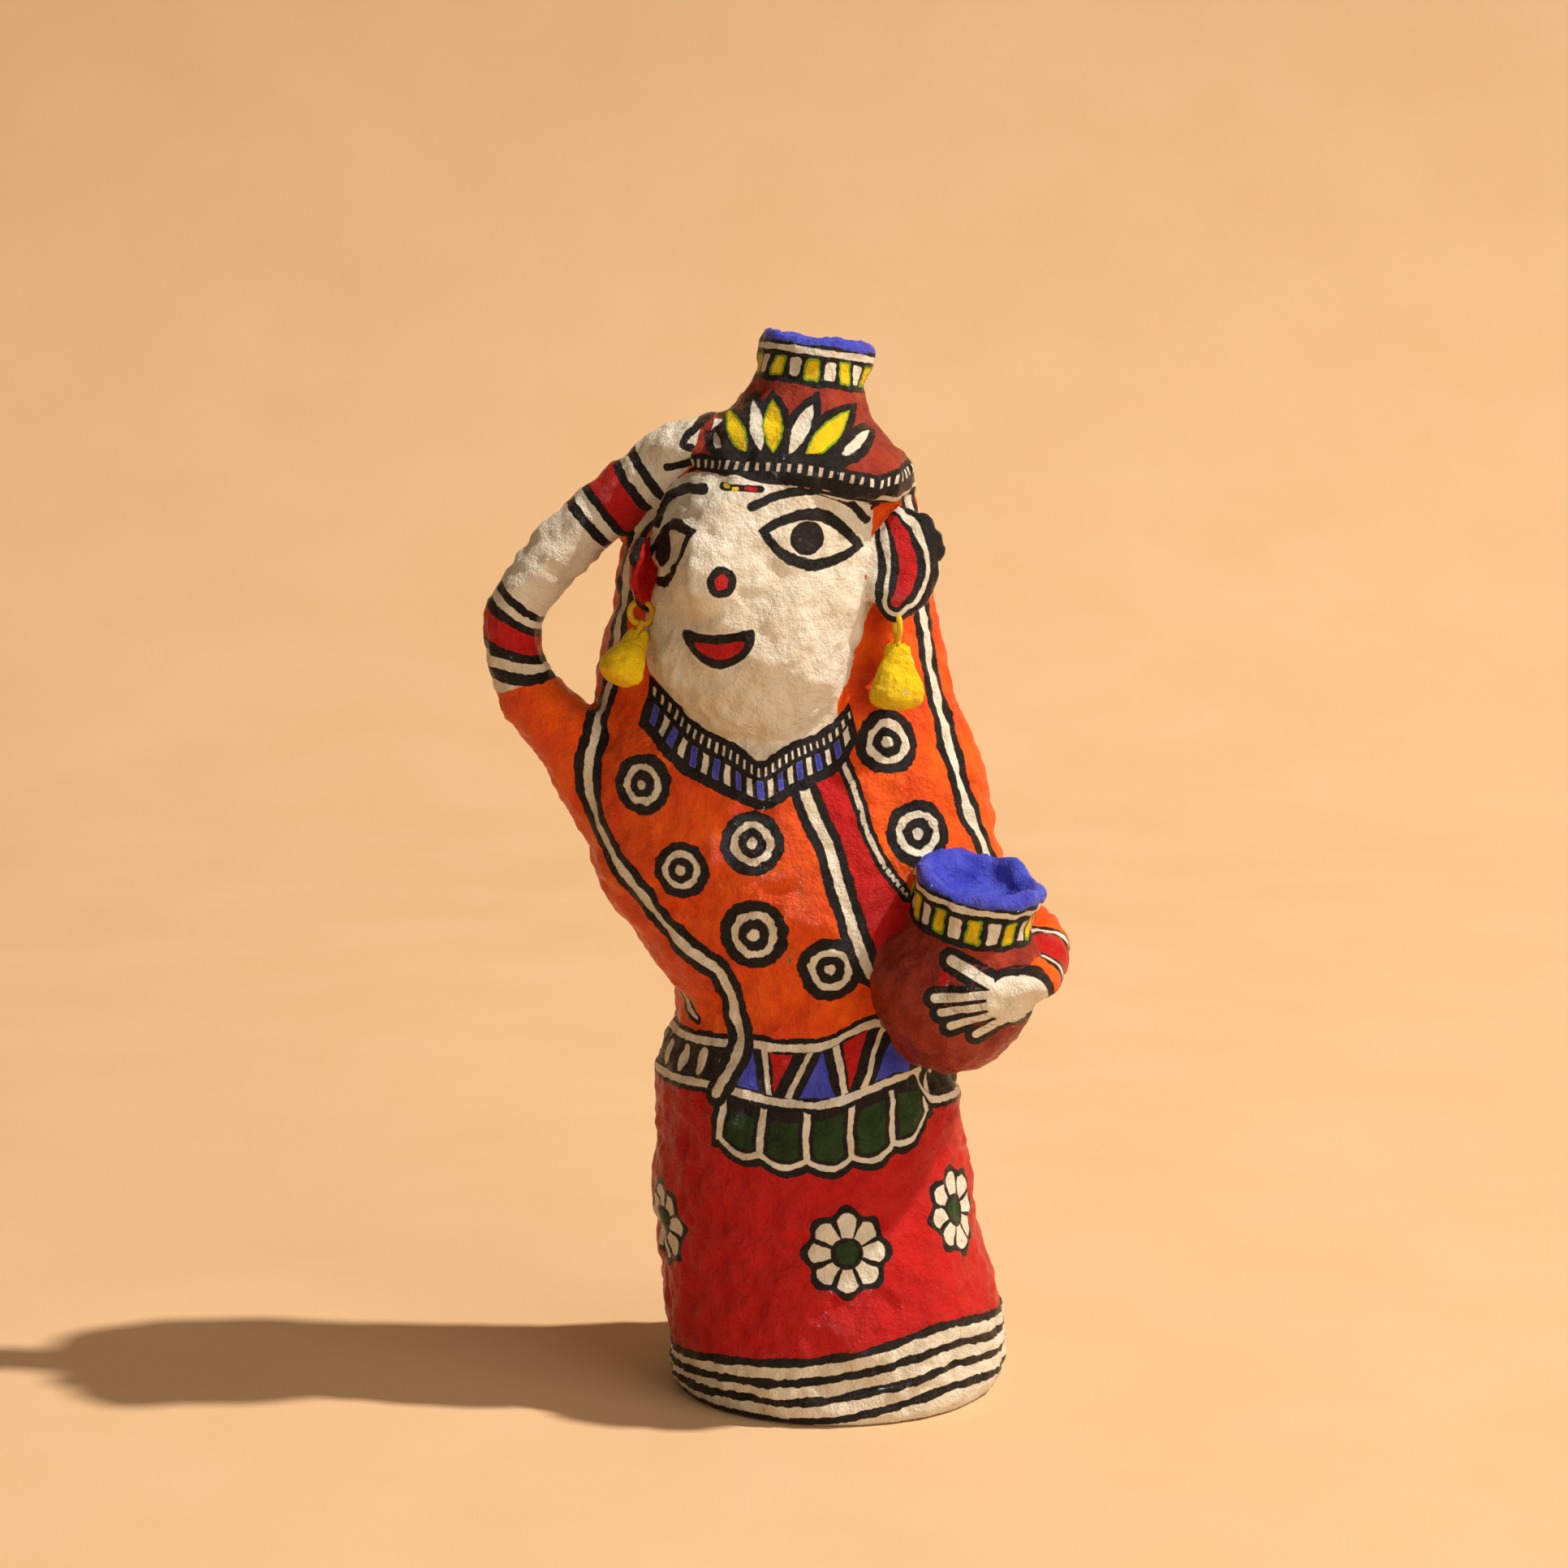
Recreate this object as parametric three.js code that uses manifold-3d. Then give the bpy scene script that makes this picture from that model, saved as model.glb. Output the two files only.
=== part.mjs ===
// A papier-mache figure of a water carrier: a woman in a long skirt and a veil, one arm raised to the pot on her
// head, the other round a pot at her hip, with a drop hung on a loop of thread from each ear.
// Millimetres, +Z up. The origin is the middle of the flat underside. She faces -Y, and her raised arm is at -X.
import * as THREE from "three";
import { mergeVertices } from "three/addons/utils/BufferGeometryUtils.js";
import Module from "manifold-3d";

const wasm = await Module();
wasm.setup();

// Driving dimensions.
const HEIGHT = 252; // underside to the highest point of the pot on her head
const BASE_RADIUS = 39.8; // hem of the skirt
const NOSE_TURN = THREE.MathUtils.degToRad(-26); // the face is turned towards the raised arm
const NOSE_REACH = 8; // how far the ridge of the nose stands out at its tip
const WEDGE_REACH = 3; // how far the middle of the face stands out on either side of the ridge
const THREAD_RADIUS = 0.7; // twisted two-ply thread
const LOOP_RADIUS = 2.7; // middle line of the thread's loop through the ear
const STEM_LENGTH = 3.6; // thread below its loop, sunk in the drop
const HOLE_RISE = 2.4; // middle of the hole above the bottom of each ear
const CLEARANCE = 0.35; // between pieces that touch
const LUMP_SIZE = 0.55; // how far the hand-laid pulp strays from a true form
const DISH_DEPTH = 7; // hollow in each pot's mouth, below the lip

const smoothstep = THREE.MathUtils.smoothstep;

// A station of a smooth form: the middle of its ring, half its width and half its depth.
const station = (x, y, z, wide, deep) => ({ x, y, z, wide, deep });

// Skirt, waist, body and veil in one sweep of level rings, from the hem to the crown.
const BODY = [
  station(0, 0, 0, BASE_RADIUS - 1.4, BASE_RADIUS - 1.4),
  station(0, 0, 3, BASE_RADIUS, BASE_RADIUS),
  station(-0.3, 0, 12, 40.4, 40),
  station(-0.8, 0, 22, 40.2, 39.8),
  station(-3.4, 0, 36, 38.8, 38.4),
  station(-6, 0, 52, 37.6, 36.4),
  station(-7.2, 0, 68, 36.4, 34.6),
  station(-6.4, 0, 79, 34.6, 32.6),
  station(-4.6, 0, 90, 33, 30.4),
  station(-4, -0.6, 98, 34, 29.6),
  station(-4.4, -1.2, 106, 41, 30.2),
  station(-6.4, -1.5, 118, 46.6, 30),
  station(-9.6, -1.2, 130, 48.6, 28.8),
  station(-12, -0.6, 141, 48.4, 27.2),
  station(-13.2, 0.2, 151, 46.4, 26),
  station(-13.6, 2, 161, 43.6, 24),
  station(-14, 3.8, 172, 41.2, 22.4),
  station(-14.6, 4.6, 184, 38.6, 22.2),
  station(-15.2, 4, 196, 36.6, 22.8),
  station(-14.6, 3.2, 206, 34, 22.4),
  station(-12.4, 1, 214, 30.6, 22),
  station(-9.8, -1.6, 220, 27.4, 22),
  station(-9, -3, 225, 20, 18),
];

// The face stands out of the veil, and narrows from the cheeks to the chin.
const FACE = [
  station(-17, -8, 156, 4, 6),
  station(-17.6, -9.2, 159, 11, 14.6),
  station(-18.3, -9.4, 163.4, 16.9, 19),
  station(-19, -9.2, 170, 22.6, 21.6),
  station(-18.3, -8.8, 180, 25, 22.6),
  station(-17.2, -8.4, 192, 26.2, 22.6),
  station(-16.8, -7.4, 203, 26, 22.2),
  station(-15.6, -6.2, 212, 25.4, 22.2),
  station(-13.4, -5, 219, 23, 22),
  station(-12, -4, 225, 12, 12),
];

// The raised arm, from inside the shoulder, round the elbow, to the hand on the pot.
const RAISED_ARM = [
  station(-40, 0, 124, 11, 11),
  station(-51.6, -0.5, 141, 11, 11),
  station(-62.8, -1.5, 155.4, 9.2, 9.6),
  station(-71.4, -2.5, 167, 8, 8.2),
  station(-75, -3, 177, 7, 7.2),
  station(-73.8, -3, 186.6, 7, 7),
  station(-68.2, -3, 195.8, 7.2, 7.2),
  station(-60.4, -3.4, 204.2, 7.4, 7.2),
  station(-51.6, -4.2, 211.6, 7.4, 7),
  station(-42.6, -5.8, 218.4, 7, 6.8),
  station(-34, -7.4, 225, 5.8, 7),
  station(-26.4, -8, 229.4, 3.4, 6),
];

// The other arm, from under the veil, round the outside of the hip pot.
const HIP_ARM = [
  station(26, 4, 121, 9, 8),
  station(37, 1, 114.6, 9, 8),
  station(44.8, -7, 109.4, 8.2, 7.2),
  station(46.6, -17.5, 106.4, 7.2, 6.2),
  station(45, -28, 105, 7.2, 5.4),
  station(40.6, -37, 104.6, 7.6, 4.4),
  station(34, -42, 104.4, 6, 2.4),
];

// Outlines of the two pots, from the axis below to the axis in the mouth's dish: [radius, height].
const POT_ON_HEAD = {
  height: 37,
  outline: [[0, 0], [21, 0.4], [25, 2.2], [26.3, 5], [26, 8], [23.6, 12], [19.6, 16], [16, 19.6], [13.8, 23.4],
    [12.8, 27], [13, 31], [13.5, 33.6], [13.2, 36], [11.9, 37], [10.3, 36]],
};
const POT_AT_HIP = {
  height: 48.4,
  outline: [[0, 0], [4.4, 0.3], [8.4, 1.8], [12, 4.8], [15.4, 9], [18, 14], [19.5, 19.4], [19.5, 24.6],
    [18, 29], [15.6, 32.4], [14.3, 35.2], [13.9, 39.5], [14.2, 43], [15, 45.6], [14.7, 47.6], [13.3, 48.4],
    [11.7, 47.4]],
};

// A closed geometry with its shared corners merged, so that it can be joined and cut.
function closed(geometry) {
  geometry.deleteAttribute("normal");
  geometry.deleteAttribute("uv");
  return mergeVertices(geometry, 1e-4);
}

function solidOf(geometry) {
  const merged = closed(geometry);
  const mesh = new wasm.Mesh({
    numProp: 3,
    vertProperties: merged.attributes.position.array,
    triVerts: new Uint32Array(merged.index.array),
  });
  return new wasm.Manifold(mesh);
}

function geometryOf(solid) {
  const mesh = solid.getMesh();
  const geometry = new THREE.BufferGeometry();
  geometry.setAttribute("position", new THREE.BufferAttribute(mesh.vertProperties, 3));
  geometry.setIndex(new THREE.BufferAttribute(mesh.triVerts, 1));
  geometry.computeVertexNormals();
  return geometry;
}

// Moves each corner of a geometry to where the function puts it.
function reshaped(geometry, place) {
  const corners = geometry.attributes.position;
  const point = new THREE.Vector3();
  for (let i = 0; i < corners.count; i += 1) {
    point.fromBufferAttribute(corners, i);
    place(point);
    corners.setXYZ(i, point.x, point.y, point.z);
  }
  return geometry;
}

const LEVEL = () => ({ across: new THREE.Vector3(1, 0, 0), forward: new THREE.Vector3(0, -1, 0) });

// Rings stand square to the path, with one axis kept as near to the given direction as they can.
function squareTo(path, direction) {
  return (t) => {
    const along = path.getTangent(t);
    const across = new THREE.Vector3().crossVectors(along, direction).normalize();
    return { across, forward: new THREE.Vector3().crossVectors(across, along) };
  };
}

// A smooth solid through the stations: a cylinder whose rings are moved, widened and turned along the path.
function lofted(stations, { sides, rings, keep = null, relief = () => 0 }) {
  const path = new THREE.CatmullRomCurve3(stations.map((s) => new THREE.Vector3(s.x, s.y, s.z)), false, "catmullrom");
  const girth = new THREE.CatmullRomCurve3(stations.map((s) => new THREE.Vector3(s.wide, s.deep, 0)), false, "catmullrom");
  const frameAt = keep ? squareTo(path, keep) : LEVEL;
  return reshaped(new THREE.CylinderGeometry(1, 1, 1, sides, rings), (point) => {
    const t = THREE.MathUtils.clamp(point.y + 0.5, 0, 1);
    const { across, forward } = frameAt(t);
    const middle = path.getPoint(t);
    const size = girth.getPoint(t);
    const reach = Math.hypot(point.x, point.z);
    const extra = reach > 0 ? relief(Math.atan2(point.x, point.z), middle.z) * reach : 0;
    const x = point.x * (size.x + extra);
    const y = point.z * (size.y + extra);
    point.copy(middle).addScaledVector(across, x).addScaledVector(forward, y);
  });
}

// The face is a broad wedge, and the nose one ridge down its edge that falls away steeply under the tip.
function noseRidge(angle, z) {
  const bell = (width) => Math.exp(-(((angle - NOSE_TURN) / width) ** 2));
  const wedge = WEDGE_REACH * smoothstep(z, 160, 178) * smoothstep(226 - z, 0, 16);
  const down = smoothstep(222 - z, -4, 24); // 0 at the brow, 1 at the tip
  const under = 1 - smoothstep(197 - z, 0, 9);
  return wedge * bell(0.75) + NOSE_REACH * down * under * bell(0.25);
}

// Turned by the angles about X, then Y, then Z.
const turned = (angles) => new THREE.Matrix4().makeRotationFromEuler(new THREE.Euler(...angles, "ZYX"));

function ellipsoid({ middle, half, angles }, sides = 16) {
  return new THREE.SphereGeometry(1, sides, Math.round(sides * 0.7))
    .rotateX(Math.PI / 2)
    .scale(...half)
    .applyMatrix4(turned(angles))
    .translate(...middle);
}

// A pot turned about its own axis, with an uneven lip round a shallow dish, then leaned and put in place.
function pot({ outline, height }, place, lean, forwardLean, sides) {
  const lip = outline[outline.length - 1];
  const dish = [[lip[0] - 2.6, height - DISH_DEPTH + 0.9], [lip[0] - 6, height - DISH_DEPTH + 0.1], [0, height - DISH_DEPTH]];
  const profile = [...outline, ...dish].map(([radius, z]) => new THREE.Vector2(radius, z));
  const lipFrom = height - 5;
  return reshaped(new THREE.LatheGeometry(profile, sides).rotateX(Math.PI / 2), (point) => {
    const angle = Math.atan2(point.y, point.x);
    const share = smoothstep(point.z, lipFrom, height);
    const outer = smoothstep(Math.hypot(point.x, point.y), 9, 11);
    point.z -= share * outer * (0.55 * Math.sin(3 * angle + 1) + 0.4 * Math.sin(5 * angle));
  })
    .rotateX(forwardLean)
    .rotateY(lean)
    .translate(place.x, place.y, place.z);
}

// The pulp is laid by hand, so every form strays a little. The field is smooth, and still at the flat underside.
function handLaid(point) {
  const still = smoothstep(point.z, 1, 10);
  const { x, y, z } = point;
  const size = LUMP_SIZE * still;
  point.x += size * (Math.sin(z / 7.5 + y / 11) + 0.7 * Math.sin(z / 4.1 - x / 8));
  point.y += size * (Math.sin(x / 8.5 + z / 10) + 0.7 * Math.sin(z / 4.7 + x / 6));
  point.z += size * 0.6 * Math.sin(x / 7 + y / 9);
}

const UP = new THREE.Vector3(0, 0, 1);
const DEEP = new THREE.Vector3(0, 1, 0);

// Ears, by her own left and right: the one at +X faces the front, the other is seen edge on.
const EARS = {
  left: { middle: [15.5, -15, 197.8], half: [8.7, 3.8, 13.8], angles: [-0.28, 0.24, 0.2] },
  right: { middle: [-44.8, -17, 196.6], half: [7.4, 1.8, 8.8], angles: [0, 0.09, 1.42] },
};

// The middle of the hole through the lobe, just above the bottom of the ear.
function lobeOf({ middle, half, angles }) {
  return new THREE.Vector3(0, 0, HOLE_RISE - half[2]).applyMatrix4(turned(angles)).add(new THREE.Vector3(...middle));
}

// The loop of thread through the lobe, in a plane across the ear, with room round it when it is a cutter.
function threadLoop(ear, room = 0) {
  const hole = lobeOf(ear);
  return new THREE.TorusGeometry(LOOP_RADIUS, THREAD_RADIUS + room, 8, 20)
    .rotateY(Math.PI / 2)
    .rotateZ(ear.angles[2])
    .translate(hole.x, hole.y, hole.z - LOOP_RADIUS);
}

// Where the loop ends below, its two strands run on as one twisted stem into the drop.
function threadStem(ear, hang, room = 0) {
  const hole = lobeOf(ear);
  const from = -0.6;
  const long = STEM_LENGTH + room - from;
  return new THREE.CylinderGeometry(THREAD_RADIUS * 1.2 + room, THREAD_RADIUS * 1.2 + room, long, 10)
    .rotateX(Math.PI / 2)
    .translate(0, 0, -from - long / 2)
    .applyMatrix4(turned(hang))
    .translate(hole.x, hole.y, hole.z - 2 * LOOP_RADIUS);
}

// A drop pressed from pulp: pear-shaped, a little flattened, its top just under the loop.
function drop(ear, { wide, deep, high, angles }) {
  const hole = lobeOf(ear);
  const pear = [[0, 0], [0.34, -0.01], [0.44, -0.06], [0.52, -0.2], [0.66, -0.38], [0.86, -0.56], [1, -0.74],
    [0.96, -0.87], [0.74, -0.96], [0.4, -1], [0, -1]];
  const profile = pear.reverse().map(([radius, down]) => new THREE.Vector2(radius, down));
  return reshaped(new THREE.LatheGeometry(profile, 16).rotateX(Math.PI / 2), (point) => {
    const angle = Math.atan2(point.y, point.x);
    const facet = 1 + 0.06 * Math.sin(3 * angle + 0.6) * smoothstep(-point.z, 0.2, 0.7);
    point.set(point.x * facet * wide, point.y * facet * deep, point.z * high);
  })
    .applyMatrix4(turned(angles))
    .translate(hole.x, hole.y, hole.z - 2 * LOOP_RADIUS - THREAD_RADIUS - CLEARANCE);
}

const DROPS = {
  left: { wide: 6.5, deep: 4, high: 15.2, angles: [-0.26, 0.02, 0] },
  right: { wide: 5.2, deep: 3.9, high: 14.6, angles: [-0.6, 0.5, 0] },
};

const PALM = { middle: [32.6, -39, 103.8], half: [12.4, 9.4, 8], angles: [0, 0.25, 0.2] };
const HIP = { middle: [16.5, -16.5, 87], half: [9.5, 12, 9], angles: [0, 0.3, -0.6] }; // carries the pot

// The figure, built up in one piece: body, face, ears, arms and both pots.
function figure() {
  const forms = [
    lofted(BODY, { sides: 36, rings: 42 }),
    lofted(FACE, { sides: 40, rings: 19, relief: noseRidge }),
    lofted(RAISED_ARM, { sides: 14, rings: 26, keep: DEEP }),
    lofted(HIP_ARM, { sides: 12, rings: 12, keep: UP }),
    pot(POT_ON_HEAD, { x: -10, y: -3.6, z: HEIGHT - POT_ON_HEAD.height - 2 }, 0.14, -0.09, 32),
    pot(POT_AT_HIP, { x: 23.9, y: -23.4, z: 82.8 }, 0.18, 0.17, 32),
    ellipsoid(PALM),
    ellipsoid(HIP),
    ...Object.values(EARS).map((ear) => ellipsoid(ear)),
  ];
  let whole = forms.map(solidOf).reduce((joined, form) => joined.add(form));
  whole = solidOf(reshaped(geometryOf(whole), handLaid));
  for (const ear of Object.values(EARS)) whole = whole.subtract(solidOf(threadLoop(ear, CLEARANCE)));
  return geometryOf(whole);
}

function threadOf(side) {
  const ear = EARS[side];
  return geometryOf(solidOf(threadLoop(ear)).add(solidOf(threadStem(ear, DROPS[side].angles))));
}

function dropOf(side) {
  const ear = EARS[side];
  const socket = solidOf(threadStem(ear, DROPS[side].angles, CLEARANCE));
  return geometryOf(solidOf(drop(ear, DROPS[side])).subtract(socket));
}

const CREAM_PULP = new THREE.MeshStandardMaterial({ color: 0xe8dcc0, roughness: 0.6, metalness: 0 });
const YELLOW_PULP = new THREE.MeshStandardMaterial({ color: 0xe8c20c, roughness: 0.6, metalness: 0 });
const YELLOW_THREAD = new THREE.MeshStandardMaterial({ color: 0xe0b40e, roughness: 0.8, metalness: 0 });

function piece(name, geometry, material) {
  const mesh = new THREE.Mesh(geometry, material);
  mesh.name = name;
  return mesh;
}

const waterCarrier = new THREE.Group();
waterCarrier.name = "water_carrier";
waterCarrier.add(piece("figure", figure(), CREAM_PULP));
for (const side of Object.keys(EARS)) {
  waterCarrier.add(piece(`earring_thread_${side}`, threadOf(side), YELLOW_THREAD));
  waterCarrier.add(piece(`earring_drop_${side}`, dropOf(side), YELLOW_PULP));
}

export default waterCarrier;
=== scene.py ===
"""Looks for a papier-mache water carrier: hand-laid pulp, brushed folk painting under varnish, and a studio.

The solid is copied, relaid as pulp and painted. Long brush strokes and bands are measured on the surface and kept
as smooth per-vertex values; the materials turn those values into crisp, slightly wavering paint.
Lengths are in millimetres until they reach Blender, which works in metres.
"""

import logging
import math
from dataclasses import dataclass, field
from enum import Enum

import bmesh
import bpy
import numpy as np
from mathutils import Euler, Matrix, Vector, noise
from mathutils.bvhtree import BVHTree

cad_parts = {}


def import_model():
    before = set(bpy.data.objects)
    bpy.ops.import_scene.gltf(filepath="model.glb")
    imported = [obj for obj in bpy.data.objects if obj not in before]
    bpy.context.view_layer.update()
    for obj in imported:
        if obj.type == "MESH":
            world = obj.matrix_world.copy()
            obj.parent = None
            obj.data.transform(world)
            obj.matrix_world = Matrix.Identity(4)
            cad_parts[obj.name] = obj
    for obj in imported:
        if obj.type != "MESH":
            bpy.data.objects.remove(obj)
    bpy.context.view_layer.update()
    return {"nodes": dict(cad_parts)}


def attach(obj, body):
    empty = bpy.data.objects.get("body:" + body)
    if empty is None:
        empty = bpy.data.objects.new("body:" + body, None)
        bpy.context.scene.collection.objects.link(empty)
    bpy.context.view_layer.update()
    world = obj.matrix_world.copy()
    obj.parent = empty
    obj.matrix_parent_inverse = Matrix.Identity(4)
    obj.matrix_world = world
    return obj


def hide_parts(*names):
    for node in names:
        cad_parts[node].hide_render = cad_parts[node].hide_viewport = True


logger = logging.getLogger("water_carrier")

MM = 0.001
FAR = 60.0

# Where two forms meet, how many millimetres each is favoured by.
FAVOUR = {"body": 0.6, "arm": 0.3, "left_ear": 0.4, "right_ear": 0.4}
FORM_EDGE = 6.0  # Gaps between two forms are kept this far either way.
STROKE_REACH = 14.0  # Gaps from a brush stroke are kept this far.
FACE_BACK, CROWN = -2.0, 222.0  # Behind and below these the face has no claim.
NOSE_FRONT, NOSE_FAVOUR = -30.0, 8.0  # Further forward than this all is face.
RING_SIZE, FLOWER_SIZE = 6.0, 11.0
ARC = 0.5  # Millimetres of the body's front to a degree, nearly.


class Hue(Enum):
    """Pigments, as sRGB: the brushed colour and the shade it wanders to."""

    ORANGE = ("#D23A02", "#F06206")
    RED = ("#AE0A08", "#C01510")
    CREAM = ("#E2DAC7", "#D0C4A9")
    MAROON = ("#7C1C0A", "#A23A22")
    BLUE = ("#2A30A4", "#525ACA")
    YELLOW = ("#E9C806", "#D9A90A")
    LIME = ("#5E8A0C", "#8FA80E")
    GREEN = ("#12260C", "#234212")
    BLACK = ("#0C0908", "#1C1613")
    PAPER = ("#D9B58A", "#D2AD7F")
    BARE_PULP = ("#B9A484", "#A48D6C")


# The forms that the pulp was built up on, as in the solid: middle x and y, height, half width, half depth.
BODY = np.array([
    (0, 0, 0, 39.8, 39.8), (-0.3, 0, 12, 40.4, 40), (-0.8, 0, 22, 40.2, 39.8), (-3.4, 0, 36, 38.8, 38.4),
    (-6, 0, 52, 37.6, 36.4), (-7.2, 0, 68, 36.4, 34.6), (-6.4, 0, 79, 34.6, 32.6), (-4.6, 0, 90, 33, 30.4),
    (-4, -0.6, 98, 34, 29.6), (-4.4, -1.2, 106, 41, 30.2), (-6.4, -1.5, 118, 46.6, 30), (-9.6, -1.2, 130, 48.6, 28.8),
    (-12, -0.6, 141, 48.4, 27.2), (-13.2, 0.2, 151, 46.4, 26), (-13.6, 2, 161, 43.6, 24), (-14, 3.8, 172, 41.2, 22.4),
    (-14.6, 4.6, 184, 38.6, 22.2), (-15.2, 4, 196, 36.6, 22.8), (-14.6, 3.2, 206, 34, 22.4), (-12.4, 1, 214, 30.6, 22),
    (-9.8, -1.6, 220, 27.4, 22), (-9, -3, 225, 20, 18),
])
FACE = np.array([
    (-17, -8, 156, 4, 6), (-17.6, -9.2, 159, 11, 14.6), (-18.3, -9.4, 163.4, 16.9, 19), (-19, -9.2, 170, 22.6, 21.6),
    (-18.3, -8.8, 180, 25, 22.6), (-17.2, -8.4, 192, 26.2, 22.6), (-16.8, -7.4, 203, 26, 22.2),
    (-15.6, -6.2, 212, 25.4, 22.2), (-13.4, -5, 219, 23, 22),
])
RAISED_ARM = np.array([
    (-51.6, -0.5, 141, 11), (-62.8, -1.5, 155.4, 9.4), (-71.4, -2.5, 167, 8.1), (-75, -3, 177, 7.1),
    (-73.8, -3, 186.6, 7), (-68.2, -3, 195.8, 7.2), (-60.4, -3.4, 204.2, 7.3), (-51.6, -4.2, 211.6, 7.2),
    (-42.6, -5.8, 218.4, 6.9), (-34, -7.4, 225, 6.4), (-26.4, -8, 229.4, 4.8),
])
HIP_ARM = np.array([
    (37, 1, 114.6, 8.5), (44.8, -7, 109.4, 7.7), (46.6, -17.5, 106.4, 6.7), (45, -28, 105, 6.3),
    (40.6, -37, 104.6, 6), (34, -42, 104.4, 4),
])


@dataclass(frozen=True)
class Pot:
    """A pot's place, its lean about X then Y in radians, and its outline as radius and height."""

    place: tuple[float, float, float]
    lean: tuple[float, float]
    outline: tuple[tuple[float, float], ...]

    def local(self, points: np.ndarray) -> np.ndarray:
        """Points seen from the pot's own foot and axis.

        Args:
            points: Positions in the row frame.

        Returns:
            The same positions in the pot's frame.
        """
        turn = Euler((self.lean[0], self.lean[1], 0), "XYZ").to_matrix()
        return (points - np.array(self.place)) @ np.array(turn)

    def gap(self, points: np.ndarray) -> np.ndarray:
        """How far each point lies from the pot's surface.

        Args:
            points: Positions in the row frame.

        Returns:
            One distance a point.
        """
        own = self.local(points)
        radius, height = np.array(self.outline).T
        wall = np.interp(own[:, 2], height, radius)
        beyond = np.maximum(0, np.maximum(height[0] - own[:, 2], own[:, 2] - height[-1]))
        reach = np.hypot(own[:, 0], own[:, 1])
        mouth = (own[:, 2] > height[-1] - 8) & (reach < wall)
        return np.where(mouth, 0.0, np.abs(reach - wall)) + beyond


HEAD_POT = Pot((-10, -3.6, 213), (-0.09, 0.14), (
    (21, 0.4), (25, 2.2), (26.3, 5), (26, 8), (23.6, 12), (19.6, 16), (16, 19.6), (13.8, 23.4), (12.8, 27),
    (13, 31), (13.5, 33.6), (13.2, 37.5)))
HIP_POT = Pot((23.9, -23.4, 82.8), (0.17, 0.18), (
    (4.4, 0.3), (8.4, 1.8), (12, 4.8), (15.4, 9), (18, 14), (19.5, 19.4), (19.5, 24.6), (18, 29), (15.6, 32.4),
    (14.3, 35.2), (13.9, 39.5), (14.2, 43), (15, 45.6), (14.7, 49.2)))


@dataclass(frozen=True)
class Ear:
    """An ear's middle, half sizes, and turn about X, Y and Z."""

    middle: tuple[float, float, float]
    half: tuple[float, float, float]
    angles: tuple[float, float, float]

    def local(self, points: np.ndarray) -> np.ndarray:
        """Points in the ear's frame, as shares of its half sizes."""
        turn = np.array(Euler(self.angles, "XYZ").to_matrix())
        return ((points - np.array(self.middle)) @ turn) / np.array(self.half)


LEFT_EAR = Ear((15.5, -15, 197.8), (8.7, 3.8, 13.8), (-0.28, 0.24, 0.2))
RIGHT_EAR = Ear((-44.8, -17, 196.6), (7.4, 1.8, 8.8), (0, 0.09, 1.42))
PALM = Ear((32.6, -39, 103.8), (12.4, 9.4, 8), (0, 0.25, 0.2))


# Bands round the body: angle from the front in degrees, upper edge and lower edge.
COLLAR = ((-75, 175, 166), (-65, 170.6, 161), (-57, 167, 157.6), (-43, 161.6, 151.6), (-25, 157.6, 147),
    (-12, 153.8, 144.6), (-6, 154, 145), (8, 157.4, 148.4), (28, 160.6, 152.4), (38, 164.6, 158), (60, 176, 170))
BELT = ((-180, 89, 76), (-83, 88.5, 76), (-47, 89, 77), (-30, 90, 76.4), (-15, 89.4, 75), (3, 90, 74.2),
    (13, 92.5, 75.2), (24, 95, 77), (40, 95, 79.4), (47, 94.4, 79.6), (54, 93.4, 73), (66, 91.6, 71.6),
    (90, 90, 71.8), (122, 89, 74), (150, 89, 76), (180, 89, 76))
HEM = ((-180, 15, 3.4), (-120, 12, 1.6), (-76, 10.6, 0.8), (-40, 14, 0.7), (-8, 16, 1.5), (20, 19.6, 4.2),
    (42, 22.2, 6.6), (76, 19.4, 5), (120, 17, 4), (180, 15, 3.4))
APRON = ((-50, 76, 70), (-42, 76, 66), (-36, 76, 63.6), (-20, 75, 61), (0, 74, 59.2), (20, 76.5, 59.8), (38, 79, 62.6),
    (52, 79, 68), (60, 79, 73))
# The row of teeth round the pot on her head: angle from its own middle, and height.
BRIM = ((-180, 221.2), (-60, 221.6), (-24, 222.1), (0, 221.8), (17, 220.3), (30, 219), (43, 217.6), (60, 218.5),
    (72, 219.4), (87, 220.4), (120, 221), (180, 221.2))

# The edge of the veil at her right, as places near the surface.
VEIL_EDGE = ((-34, -6, 222), (-40, -7, 214), (-45, -6, 206), (-48, -5, 198), (-49.6, -4, 190), (-50.4, -4, 180),
    (-52, -5, 170), (-55, -5, 163), (-57, -9, 155), (-57.6, -10, 146), (-55.6, -12, 137), (-51.6, -15, 130),
    (-46, -19, 123), (-40, -21, 115), (-34, -24, 109.6), (-28, -26, 105.6), (-25, -25, 101), (-23.4, -24.4, 95),
    (-22.4, -26, 89), (-25, -27, 82), (-28, -27, 77))
# Brush strokes on the body, each through angles from the front and heights.
TRIM = (
    ((70, 221), (79, 210), (84, 198), (83, 185), (81, 175), (78, 168), (75, 160), (72, 150), (72, 143), (73, 137),
     (74, 130), (74, 118)),
    ((10, 152), (11, 148), (14, 142), (17, 136), (17, 130), (17, 121), (18, 114), (21, 106), (24, 98)),
)
CORD = (
    ((31, 156), (34, 150), (35, 144), (35, 137), (37, 131), (42, 122), (46, 114)),
    ((-76, 99), (-68, 94.6), (-60, 92)),
)
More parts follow.
